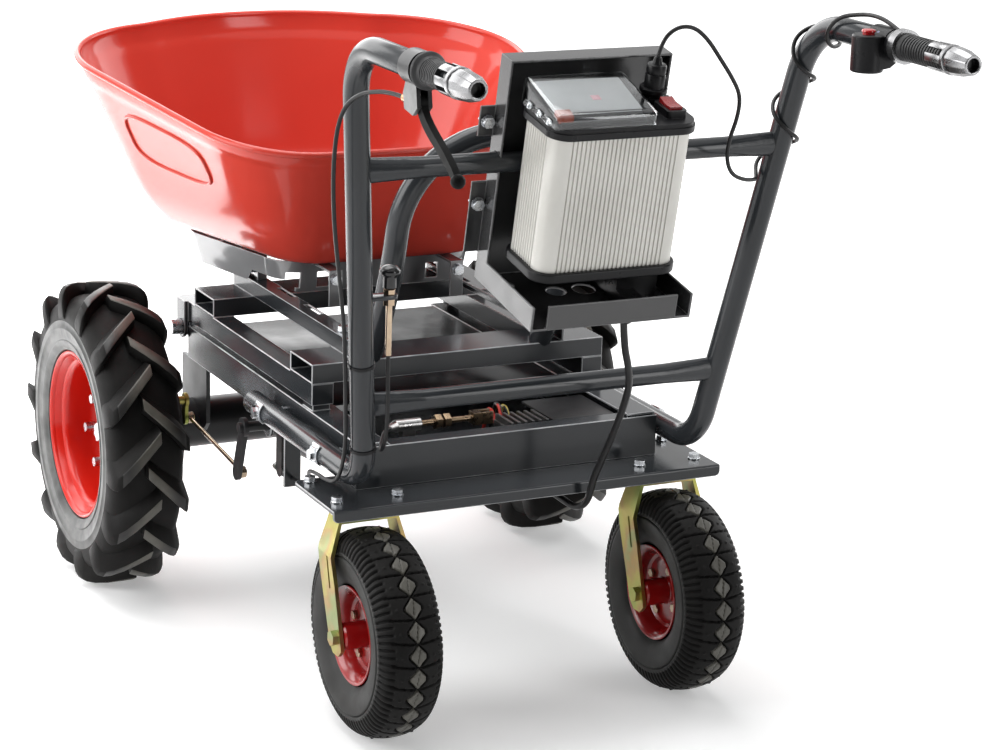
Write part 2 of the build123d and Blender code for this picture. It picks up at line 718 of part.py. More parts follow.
# Dished two-step wheel rim, its axis along X, outer face towards -X
def rim(radius, half_width, disc_x, hub_radius, step):
    profile = Polyline((-half_width, radius - step), (-half_width, radius), (-half_width + 5, radius),
                       (-half_width + 5, radius - step * 0.55), (-half_width + 20, radius - step * 1.3),
                       (half_width - 20, radius - step * 1.3), (half_width - 5, radius - step * 0.55),
                       (half_width - 5, radius), (half_width, radius), (half_width, radius - step),
                       (half_width - 18, radius - step * 1.3 - 3), (disc_x + 14, radius - step * 1.3 - 3),
                       (disc_x + 3, radius * 0.62), (disc_x + 3, hub_radius), (disc_x, hub_radius),
                       (disc_x, radius * 0.62), (disc_x + 9, radius - step * 1.3 - 3),
                       (-half_width + 18, radius - step * 1.3 - 3), close=True)
    return revolve(make_face(profile), axis=Axis.X)


# Tyre carcass on a rim, from bead to tread
def carcass(radius, half_width, rim_radius, rim_half):
    tread = half_width * 0.86
    edge = rim_half + 0.5
    profile = Polyline((-rim_half + 5.4, rim_radius + 0.5), (-edge, rim_radius + 1.5),
                       (-half_width * 0.93, rim_radius + 8), (-half_width, (radius + rim_radius) / 2),
                       (-half_width * 0.97, radius * 0.88), (-tread, radius * 0.965), (-tread * 0.5, radius),
                       (tread * 0.5, radius), (tread, radius * 0.965), (half_width * 0.97, radius * 0.88),
                       (half_width, (radius + rim_radius) / 2), (half_width * 0.93, rim_radius + 8),
                       (edge, rim_radius + 1.5), (rim_half - 5.4, rim_radius + 0.5),
                       (rim_half - 9, rim_radius + 8), (-rim_half + 9, rim_radius + 8), close=True)
    return revolve(make_face(profile), axis=Axis.X)


# One chevron lug: a slanted bar from the middle of the tread, out and backwards over the shoulder
def lug(side):
    base = drive_radius - lug_height - 30
    outer = drive_width / 2 - 3
    half = lug_top / 2
    outline = [(-side * 9, -half), (-side * 9, half), (side * outer, half - lug_sweep - 2),
               (side * outer, -half - lug_sweep - 4)]
    top = Plane(origin=(0, 0, base), x_dir=(1, 0, 0), z_dir=(0, 0, 1))
    bar = prism(top, outline, lug_height + 35)
    ceiling = Rot(0, 90, 0) * Cylinder(drive_radius, 2 * drive_width)
    return bar & ceiling


def drive_tyre():
    body = carcass(drive_radius - lug_height, drive_width / 2 - 2, drive_rim_radius, drive_rim_half)
    left = lug(-1)
    right = lug(1)
    pitch = 360 / lug_count
    bars = [Rot((index + 0.5) * pitch, 0, 0) * left for index in range(lug_count)]
    bars += [Rot(index * pitch, 0, 0) * right for index in range(lug_count)]
    return body + bars


# Places of the wheel studs round the hub
def stud_places():
    turns = [math.radians(stud_turn + 360 * index / stud_count) for index in range(stud_count)]
    return [(stud_circle * math.cos(turn), stud_circle * math.sin(turn)) for turn in turns]


def drive_rim():
    hub_bore = 30
    disc = rim(drive_rim_radius, drive_rim_half, drive_disc, hub_bore, 17)
    for y, z in stud_places():
        disc -= rod((drive_disc - 5, y, z), (drive_disc + 8, y, z), 5)
    return disc


# Hub on the half shaft: flange inside the rim, studs with long nuts, centre nut
def drive_hub():
    face = drive_disc + 3
    hub = rod((drive_disc - 10, 0, 0), (92, 0, 0), 12.5)
    hub += rod((face, 0, 0), (face + 11, 0, 0), 66)
    hub += rod((drive_disc - 13, 0, 0), (face, 0, 0), 29.5)
    hub += Plane(origin=(drive_disc - 13, 0, 0), z_dir=(-1, 0, 0)) * hexagon(24, 13)
    for y, z in stud_places():
        hub += rod((drive_disc - 2, y, z), (face + 5, y, z), 5)
        hub += rod((drive_disc - 28, y, z), (drive_disc, y, z), 6.5)
    return hub


# Castor fork: crown under the swivel plate, slanted shoulders, legs raked back to the axle bolt
def castor_fork():
    crown_z = 275
    shoulder = 39
    inner_half = fork_half - fork_sheet
    outline = [(-fork_half, 105), (-fork_half, 226), (-shoulder, crown_z - 5), (shoulder, crown_z - 5),
               (fork_half, 226), (fork_half, 105), (inner_half, 105), (inner_half, 224),
               (shoulder - 3, crown_z - 10), (-shoulder + 3, crown_z - 10), (-inner_half, 224),
               (-inner_half, 105)]
    front_plane = Plane(origin=(0, 60, 0), x_dir=(1, 0, 0), z_dir=(0, -1, 0))
    strap = prism(front_plane, outline, 200)
    side_shape = [(-60, crown_z + 1), (34, crown_z + 1), (34, crown_z - 12), (-6, crown_z - 14), (-10, 230),
                  (-castor_trail + 20, 116), (-castor_trail + 10, 107), (-castor_trail - 6, 107),
                  (-castor_trail - 15, 116), (-castor_trail - 12, 128), (-68, 188), (-58, 238)]
    side_plane = Plane(origin=(-80, 0, 0), x_dir=(0, 1, 0), z_dir=(1, 0, 0))
    fork = strap & prism(side_plane, side_shape, 160)
    top = plate_top - plate_thick
    fork += rod((0, 0, crown_z - 10), (0, 0, top - 4.3), 30)
    axle_x = fork_half
    fork += rod((-axle_x, -castor_trail, castor_radius), (axle_x, -castor_trail, castor_radius), 6)
    for side in (-1, 1):
        place = Plane(origin=(side * axle_x, -castor_trail, castor_radius), z_dir=(side, 0, 0))
        fork += place * hexagon(17, 8)
        crease_plane = Plane(origin=(side * fork_half, 0, 0), x_dir=(0, side, 0), z_dir=(side, 0, 0))
        crease = strip(crease_plane, (side * -42, 224), (side * -53, 186), 4, 2)
        fork -= crease.moved(Location((side * -1.2, 0, 0)))
    return fork


# Swivel plate of a castor under the chassis plate, with the race the fork turns in
def castor_mount():
    top = plate_top - plate_thick
    mount = block(-52, 52, -54, 54, top - 4, top)
    mount = chamfer(mount.edges().filter_by(Axis.Z), 8)
    for dx, dy in castor_bolt_offsets:
        mount -= bore((dx, dy, top), (0, 0, -1), 10)
    return mount


def castor_tyre():
    return carcass(castor_radius, castor_width / 2, castor_rim_radius, 34)


def castor_rim():
    wheel = rim(castor_rim_radius, 34, -14, 17, 9)
    hub = rod((-fork_half + fork_sheet + 1, 0, 0), (fork_half - fork_sheet - 1, 0, 0), 17)
    wheel += hub
    return wheel - rod((-60, 0, 0), (60, 0, 0), 6 + running)


# Tipper frame weldment: two rails, two open cross tubes, two angle rails and the hinge lugs
def tipper_frame():
    length = tip_front - tip_rear
    middle = (tip_front + tip_rear) / 2
    wall = 2.5
    rail = Box(tip_rail_width, length, tip_rail_height)
    rail -= Box(tip_rail_width - 2 * wall, length - 2 * wall, tip_rail_height - 2 * wall)
    frame = Pos(-rail_x + tip_rail_width / 2, middle, tip_rail_bottom + tip_rail_height / 2) * rail
    lug_plate = block(-rail_x - 6, -rail_x, hinge_y - 16, hinge_y + 16, hinge_z, tip_rail_top)
    lug_plate += rod((-rail_x - 6, hinge_y, hinge_z), (-rail_x - 0.4, hinge_y, hinge_z), 16)
    lug_plate -= block(-rail_x - 0.4, -rail_x, hinge_y - 20, hinge_y + 20, hinge_z - 20, tip_rail_bottom)
    frame += lug_plate
    angle_length = front_cross_y - rear_cross_y + cross_depth
    angle_middle = (front_cross_y + rear_cross_y) / 2
    low = cross_top
    web = block(-angle_x, -angle_x + sheet, angle_middle - angle_length / 2, angle_middle + angle_length / 2,
                low, angle_top)
    web += block(-angle_x, -angle_x + angle_flange, angle_middle - angle_length / 2,
                 angle_middle + angle_length / 2, angle_top - sheet, angle_top)
    for y in slot_ys:
        web -= block(-angle_x + 16, -angle_x + 22, y - 26, y + 26, angle_top - 5, angle_top + 1)
    web -= bore((-tub_bolt_x, tub_bolt_ys[0], angle_top), (0, 0, -1), 6)
    frame += web
    frame -= bore((-rail_x - 6, hinge_y, hinge_z), (1, 0, 0), 12, 5 + running)
    frame += mirrored(frame)
    tube = Box(2 * rail_x, cross_depth, cross_height)
    tube -= Box(2 * rail_x, cross_depth - 2 * wall, cross_height - 2 * wall)
    for y in (front_cross_y, rear_cross_y):
        frame += Pos(0, y, tip_rail_top + cross_height / 2) * tube
    return frame


# Bowed tipping bar welded behind the rear cross tube
def tipping_hoop():
    foot_z = tip_rail_top + 2
    spring = hoop_top - hoop_half
    def lean(x, z):
        return (x, hoop_foot_y - (z - foot_z) * hoop_lean, z)
    arch_top = lean(0, hoop_top)
    left = [lean(-hoop_half, foot_z), lean(-hoop_half, spring)]
    right = [lean(hoop_half, spring), lean(hoop_half, foot_z)]
    path = Line(*left) + ThreePointArc(left[1], arch_top, right[0]) + Line(*right)
    start = Plane(origin=left[0], z_dir=Vector(*left[1]) - Vector(*left[0]))
    bar = sweep(start * Circle(tube_radius), path=path)
    bar -= sweep(start * Circle(tube_radius - tube_wall), path=path)
    rear_face = rear_cross_y - cross_depth / 2
    return bar - block(-200, 200, rear_face, 0, foot_z - 20, cross_top)


# Closed outline of the tub at one level: straight back, rounded corners, bowed front
def tub_outline(rear, front, rear_half, side_half, corner, nose):
    side_rear = rear + corner
    side_front = front - nose
    nose_half = side_half * 0.55
    bow = front - nose * 0.16
    edges = []
    for side in (1, -1):
        back = (side * (rear_half - corner), rear)
        rear_mid = (side * (rear_half - corner * 0.31), rear + corner * 0.27)
        flank_rear = (side * rear_half, side_rear)
        flank_front = (side * side_half, side_front)
        nose_x = side_half - (side_half - nose_half) * 0.27
        nose_mid = (side * nose_x, side_front + (bow - side_front) * 0.72)
        nose_side = (side * nose_half, bow)
        tip_mid = (side * nose_half * 0.52, front - (front - bow) * 0.24)
        edges += [Line((0, rear), back), ThreePointArc(back, rear_mid, flank_rear),
                  Line(flank_rear, flank_front), ThreePointArc(flank_front, nose_mid, nose_side),
                  ThreePointArc(nose_side, tip_mid, (0, front))]
    return Wire(edges)


# Place of the tub's rim: level across, rising towards the nose
rim_tilt = math.degrees(math.atan(tub_rise))
rim_place = Location((0, tub_rear, tub_rear_height), (rim_tilt, 0, 0))


def rim_outline(inset):
    long = (tub_front - tub_rear) / math.cos(math.radians(rim_tilt))
    return tub_outline(inset, long - inset, tub_rear_half - inset, tub_side_half - inset, 128, 250)


# Faces of the tub from its floor up to the rim, each moved in by a wall thickness
def tub_sections(inset):
    floor = tub_outline(176 + inset, 564 - inset, 150 - inset, 204 - inset, 60, 90)
    turn = tub_outline(138 + inset, 621 - inset, 190 - inset, 242 - inset, 80, 155)
    return [Pos(0, 0, tub_floor + inset) * make_face(floor), Pos(0, 0, tub_floor + 48) * make_face(turn),
            rim_place * make_face(rim_outline(inset))]


# Tub: tapered shell with flared sides and an edge rolled outwards along its rim
def tub():
    roll = [(-1, -0.6), (-0.4, -1.2), (0.4, -1.2), (1, -0.6)]
    rings = [Pos(0, 0, lift * bead_radius) * make_face(rim_outline(out * bead_radius)) for lift, out in roll]
    outer = loft(tub_sections(0), ruled=True) + rim_place * loft(rings, ruled=True)
    mouth = extrude(make_face(rim_outline(tub_wall)), 2 * bead_radius)
    return outer - loft(tub_sections(tub_wall), ruled=True) - rim_place * mouth


# Pressed pan under the tub floor: windows in its back, raised over the angle rails where spacers carry it,
# and two upright brackets behind
def tub_base():
    wall = 3
    faces = {}
    for inset in (0, wall):
        low = tub_outline(pan_rear + inset, 520 - inset, pan_half - 8 - inset, 178 - inset, 46, 100)
        high = tub_outline(pan_rear - 6 + inset, 528 - inset, pan_half - inset, 190 - inset, 48, 104)
        faces[inset] = (make_face(low), make_face(high))
    low, high = faces[0]
    outer = loft([Pos(0, 0, angle_top) * low, Pos(0, 0, tub_floor) * high], ruled=True)
    low, high = faces[wall]
    pan = outer - loft([Pos(0, 0, angle_top - 1) * low, Pos(0, 0, tub_floor + 1) * high], ruled=True)
    for side in (-1, 1):
        for x in (123, 81):
            pan -= block(side * (x - 9), side * (x + 9), pan_rear - 20, pan_rear + 30, 440, 462)
        notch_inner = angle_x - angle_flange - 6
        notch_outer = side * (angle_x + 4)
        pan -= block(notch_outer, side * notch_inner, pan_rear - 20, 386, angle_top - 1, angle_top + 17)
        spacer_inner = tub_bolt_x - 9
        spacer_outer = tub_bolt_x + 5
        for y in tub_bolt_ys[1:]:
            pan += block(side * spacer_inner, side * spacer_outer, y - 13, y + 13, angle_top, tub_floor)
            pan += block(side * spacer_inner, side * 200, y - 3, y + 3, angle_top + 26, tub_floor) & outer
            pan -= bore((side * spacer_outer, y, angle_top + 16), (-side, 0, 0), 6)
        pan += block(side * 99, side * 80, 150, pan_rear - 2, tub_floor - 4, tub_floor)
        pan += block(side * 99, side * 80, 150, 154, 428, tub_floor)
        pan -= bore((side * 90, 150, 466), (0, 1, 0), 4)
    return pan


def tub_bolts():
    group = []
    for side in (-1, 1):
        group.append(bolt((side * tub_bolt_x, tub_bolt_ys[0], angle_top), (0, 0, -1), sheet))
        for y in tub_bolt_ys[1:]:
            group.append(bolt((side * (tub_bolt_x + 5), y, angle_top + 16), (-side, 0, 0), 6, nut=False))
        group.append(bolt((side * 90, 150, 466), (0, 1, 0), 4))
    return group


# Brake cross shaft under the rails, with the outer rod lever and the forked inner cable lever
def brake_shaft():
    shaft = rod((-248, shaft_y, shaft_z), (rail_x + 10, shaft_y, shaft_z), shaft_radius)
    x, y, z = rod_rear
    for left, foot_y, foot_z in ((x - 10, y, z), (cable_x - 3, shaft_y, shaft_z - foot_drop)):
        lever_plane = Plane(origin=(left, 0, 0), x_dir=(0, 1, 0), z_dir=(1, 0, 0))
        lever = strip(lever_plane, (shaft_y, shaft_z), (foot_y, foot_z), 20, 6)
        lever += rod((left, shaft_y, shaft_z), (left + 6, shaft_y, shaft_z), 13)
        lever += rod((left, foot_y, foot_z), (left + 6, foot_y, foot_z), 10)
        shaft += lever
    shaft += rod((x - 5, y, z), (x + 6, y, z), 4)
    slot_top = shaft_z - foot_drop + 6
    return shaft - block(cable_x - 1.9, cable_x + 1.9, shaft_y - 20, shaft_y + 20, 200, slot_top)


# Throttle cable: from the battery plug over to the right upright, round it up to the bend and along its top
# to the throttle collar. Each winding step turns by 60 degrees.
def throttle_points():
    points = [(68, -414.8, 848), (70, -419, 868), (86, -423, 884), (108, -425, 884), (128, -425, 868),
              (146, -422, 846), (168, -417, 820), (184, -411, 797), (185, -405, 770), (179, -399, 744),
              (180, -393, 718), (192, -386, 698), (214, -378, 688), (238, -366, 684)]
    reach = 23
    path = handle_path(1)
    start = path.param_at_point(upright(1, 684)) * path.length
    for step in range(20):
        along = start + 13.2 * step
        centre = path.position_at(along, position_mode=PositionMode.LENGTH)
        way = path.tangent_at(along, position_mode=PositionMode.LENGTH)
        outward = way.cross(Vector(1, 0, 0)).normalized()
        angle = math.radians(190 - 60 * step)
        spot = centre + Vector(1, 0, 0) * (reach * math.cos(angle)) + outward * (reach * math.sin(angle))
        points.append(tuple(spot))
    bar_x = upright(1, grip_z)[0]
    return points + [(bar_x + 1, -486, 900), (bar_x, -514, 902), (bar_x, -540, 899), (bar_x, -562, 892)]


power_points = [
    (40, -411.4, 536.7), (46, -404, 504), (60, -392, 474), (74, -372, 444),
    (80, -350, 412), (80, -328, 372), (77, -308, 334), (72, -293, 300),
    (70, -287, 270), (66, -264, 254), (60, -230, 259), (50, -180, 268),
    (36, -110, 266), (18, -20, 250), (4, 70, 230), (0, 160, 225),
]
brake_points = [
    (-297.4, -518, 838), (-300, -494, 838.5), (-305, -464, 836), (-311, -430, 828),
    (-317, -402, 810), (-320, -388, 782), (-320, -380, 744), (-315, -368, 700),
    (-306, -354, 652), (-292, -337, 594), (-276.5, -316, 530), (-269, -303, 478),
    (-262, -290, 424), (-256.5, -279, 378), (-254, -262, 340), (-251, -236, 317),
    (-250, -206, 310), (-248, -170, 308), (-241, -130, 299), (-226, -92, 281),
    (-207, -52, 258), (-196, -12, 240), (-189, 26, 229), (-187.5, 56, 226),
]
release_points = [
    (-222, -320, 495), (-222, -320.5, 462), (-221.5, -321, 428), (-220, -314, 396),
    (-215, -296, 374), (-204, -264, 360), (-188, -228, 356), (-168, -190, 355),
    (-150, -158, 350), (-130, -134.3, 344.8),
]


# Hanging tab that holds the end of the brake cable, with its copper adjuster
def cable_anchor():
    wire_z = shaft_z - foot_drop
    tab = block(cable_x - 12, cable_x + 12, anchor_y - 2, anchor_y + 2, wire_z - 12, rail_bottom - sheet)
    tab += rod((cable_x, anchor_y - 2, shaft_z - foot_drop), (cable_x, anchor_y + 14, shaft_z - foot_drop), 6)
    return tab - rod((cable_x, anchor_y, wire_z), (cable_x, anchor_y + 20, wire_z), 1.6)


# Inner wire of the brake cable with the nipple in front of its lever
def brake_wire():
    z = shaft_z - foot_drop
    wire = rod((cable_x, anchor_y + 12, z), (cable_x, shaft_y + 16, z), 1.5)
    return wire + rod((cable_x, shaft_y + 11, z), (cable_x, shaft_y + 18, z), 5)


# Pull rod from the outer lever forward to the brake arm
def brake_rod():
    start = Vector(*rod_rear)
    end = Vector(*rod_front)
    way = (end - start).normalized()
    pull = rod(tuple(start + way * 6), tuple(end - way * 6), rod_radius)
    for (x, y, z), play in ((rod_rear, running), (rod_front, 0.6)):
        pull += rod((x - 4, y, z), (x + 4, y, z), 8)
        pull -= rod((x - 5, y, z), (x + 5, y, z), 4 + play)
    return pull


# Arm on the brake cam, between the pull rod and the back plate
def brake_arm():
    x, y, z = rod_front
    arm_plane = Plane(origin=(x - 10, 0, 0), x_dir=(0, 1, 0), z_dir=(1, 0, 0))
    arm = strip(arm_plane, (arm_y, arm_z), (y, z), 14, 5)
    arm += rod((x - 10, y, z), (x + 6, y, z), 4)
    arm += rod((x - 10, y, z), (x - 5, y, z), 9)
    arm += rod((x - 5, arm_y, arm_z), (x - 22, arm_y, arm_z), 6)
    arm += rod((x - 5, arm_y, arm_z), (x - 10, arm_y, arm_z), 10)
    return arm


nodes = {}


def add(name, shape, place=None):
    solids = shape if isinstance(shape, list) else [shape]
    if place:
        solids = [place * solid for solid in solids]
    nodes[name] = solids


left_rail = chassis_rail()
add("chassis_rail_left", left_rail)
add("chassis_rail_right", mirrored(left_rail))
add("rear_wall", rear_wall() + cable_anchor())
add("front_member", front_member())
add("castor_plate", castor_plate())
add("axle_housing", axle_housing())
tubes = {"left": handle_tube(-1), "right": handle_tube(1)}
tubes["left"] += knob_tab()
for side_name, tube in tubes.items():
    add("handle_tube_" + side_name, tube)
add("upper_crossbar", crossbar(upper_cross_z))
add("lower_crossbar", crossbar(lower_cross_z))
add("frame_bolts", frame_bolts())
add("battery_bracket", battery_bracket())
add("battery_case", battery_case())
add("battery_top_cap", battery_top_cap())
add("battery_bottom_cap", battery_bottom_cap())
add("battery_dock", battery_dock())
add("battery_lid", battery_lid())
add("battery_plug", battery_plug())
add("rocker", rocker())
add("controller", controller())
add("cover_panel", cover_panel())
add("wire_loom", wire_loom())
add("knob_tube", knob_tube())
add("release_knob", release_knob())
add("latch_sleeve", latch_sleeve())
add("latch_bolt", latch_bolt())
add("brake_perch", brake_perch())
add("brake_lever", brake_lever())
bar_x = upright(1, grip_z)[0]
add("left_grip", grip_sleeve(-bar_x, brake_y - 14, -625, 6, bar_radius, 10))
add("left_grip_end", grip_end(-bar_x, -625, bar_radius))
add("throttle_grip", grip_sleeve(bar_x, throttle_y, -663, 9, bar_radius + running))
add("throttle_grip_end", grip_end(bar_x, -663.5, bar_radius))
add("switch_box", switch_box())
add("stop_button", stop_button())
add("brake_shaft", brake_shaft())
add("brake_wire", brake_wire())
add("brake_rod", brake_rod())
add("brake_arm", brake_arm())
wheel_place = Pos(-drive_track, axle_y, drive_radius)
wheel_pieces = {"drive_tyre": drive_tyre(), "drive_rim": drive_rim(), "drive_hub": drive_hub()}
for piece_name, piece in wheel_pieces.items():
    add(piece_name + "_left", wheel_place * piece)
    add(piece_name + "_right", mirrored(wheel_place * piece))
mounts = []
for side_name, side in (("left", -1), ("right", 1)):
    swivel = Pos(side * castor_x, castor_y, 0)
    wheel = Pos(side * castor_x, castor_y - castor_trail, castor_radius)
    mounts.append(swivel * castor_mount())
    add("castor_fork_" + side_name, castor_fork(), swivel)
    add("castor_tyre_" + side_name, castor_tyre(), wheel)
    add("castor_rim_" + side_name, castor_rim(), wheel)
add("castor_mounts", mounts)
add("tipper_frame", tipper_frame())
add("tipping_hoop", tipping_hoop())
add("tub", tub())
add("tub_base", tub_base())
add("tub_bolts", tub_bolts())
cords = {"throttle_cable": (throttle_points(), 2.5), "power_lead": (power_points, 4.5),
         "brake_cable": (brake_points, 2.5), "release_cable": (release_points, 2.5)}
for cord_name, (points, radius) in cords.items():
    add(cord_name, cord(cord_name, points, radius))

os.makedirs("parts", exist_ok=True)
for name, solids in nodes.items():
    export_step(Compound(children=solids) if len(solids) > 1 else solids[0], "parts/" + name + ".step")
print(len(nodes), "nodes")
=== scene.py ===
import json
import math
import bpy
from mathutils import Matrix, Vector


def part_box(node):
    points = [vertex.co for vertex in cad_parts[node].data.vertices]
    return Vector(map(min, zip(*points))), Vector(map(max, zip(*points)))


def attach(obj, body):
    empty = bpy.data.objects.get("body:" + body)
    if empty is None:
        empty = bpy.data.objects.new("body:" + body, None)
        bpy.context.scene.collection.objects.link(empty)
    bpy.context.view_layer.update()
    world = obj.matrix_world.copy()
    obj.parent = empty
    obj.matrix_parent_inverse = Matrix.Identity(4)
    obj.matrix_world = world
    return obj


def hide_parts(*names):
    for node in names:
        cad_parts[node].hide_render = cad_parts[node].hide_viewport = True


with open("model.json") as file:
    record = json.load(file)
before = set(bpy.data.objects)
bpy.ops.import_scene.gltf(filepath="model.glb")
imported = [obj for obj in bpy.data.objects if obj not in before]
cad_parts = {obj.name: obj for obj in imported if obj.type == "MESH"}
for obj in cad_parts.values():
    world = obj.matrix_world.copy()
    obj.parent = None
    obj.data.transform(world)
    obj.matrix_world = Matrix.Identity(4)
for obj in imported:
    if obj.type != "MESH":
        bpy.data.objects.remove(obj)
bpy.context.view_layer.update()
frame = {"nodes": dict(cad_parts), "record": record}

# Electric tipping wheelbarrow on a white floor. Lengths in the dictionaries are millimetres.
nodes = frame["nodes"]
bodyOf = {}
for bodyName, members in frame["record"]["behaviour"]["bodies"].items():
    for member in members:
        bodyOf[member] = bodyName
mm = 0.001
origin = (0, 0, 0)
axle = (1, 0, 0)
backwards = (0, -1, 0)
crease = 34  # degrees, a sharper edge is rounded or stays sharp
flat = 0.4  # degrees, faces this close to one plane become one face
weld = 1e-5  # metres, points closer than this merge
noiseSpan = (0.3, 0.7)  # part of the noise that a finish uses

camera = {"place": (-1.5092, -3.1865, 1.3606), "right": (0.89768, -0.43960, 0.03035),
          "up": (0.09317, 0.25667, 0.96200), "sensor": 36, "lens": 100.214}
studio = {"floor": (0.84, 0.84, 0.84), "floorRough": 0.8, "floorShine": 0.05, "floorSize": 60,
          "drop": 0.0005, "glow": 0.32, "near": 1.0, "far": 3.4, "sky": 0.22,
          "card": (0.03, 0.03, 0.03)}
# Dark cards behind the camera, in metres, and the turn of each about the upright axis in degrees
cards = {
    "cardBehind": {"spot": (-0.8, -5.6, 2.6), "turn": 0, "size": (9, 6)},
    "cardLeft": {"spot": (-6.0, -3.6, 2.6), "turn": -52, "size": (5, 6)},
    "cardRight": {"spot": (4.6, -3.6, 2.6), "turn": 52, "size": (5, 6)},
}
# Lamps, in metres and watts, each aimed at its target
lamps = {
    "topLight": {"spot": (-0.25, 0.6, 3.6), "target": (0, 0.1, 0.4), "size": (3.0, 2.4), "power": 95},
    "leftLight": {"spot": (-3.2, 0.6, 1.7), "target": (0, 0.3, 0.5), "size": (2.6, 2.4), "power": 96},
    "backLight": {"spot": (-0.6, 4.4, 2.2), "target": (-0.2, 0.4, 0.5), "size": (5.0, 3.0), "power": 130},
    "rightLight": {"spot": (3.2, 0.8, 1.6), "target": (0, 0.2, 0.5), "size": (2.0, 2.4), "power": 45},
    "frontLight": {"spot": (1.9, -3.5, 1.5), "target": (0, 0, 0.4), "size": (0.9, 2.4), "power": 40},
    "groundLight": {"spot": (-0.62, 1.5, 1.3), "target": (-0.62, 1.5, 0), "size": (1.5, 1.3), "power": 24,
                    "spread": 100},
}

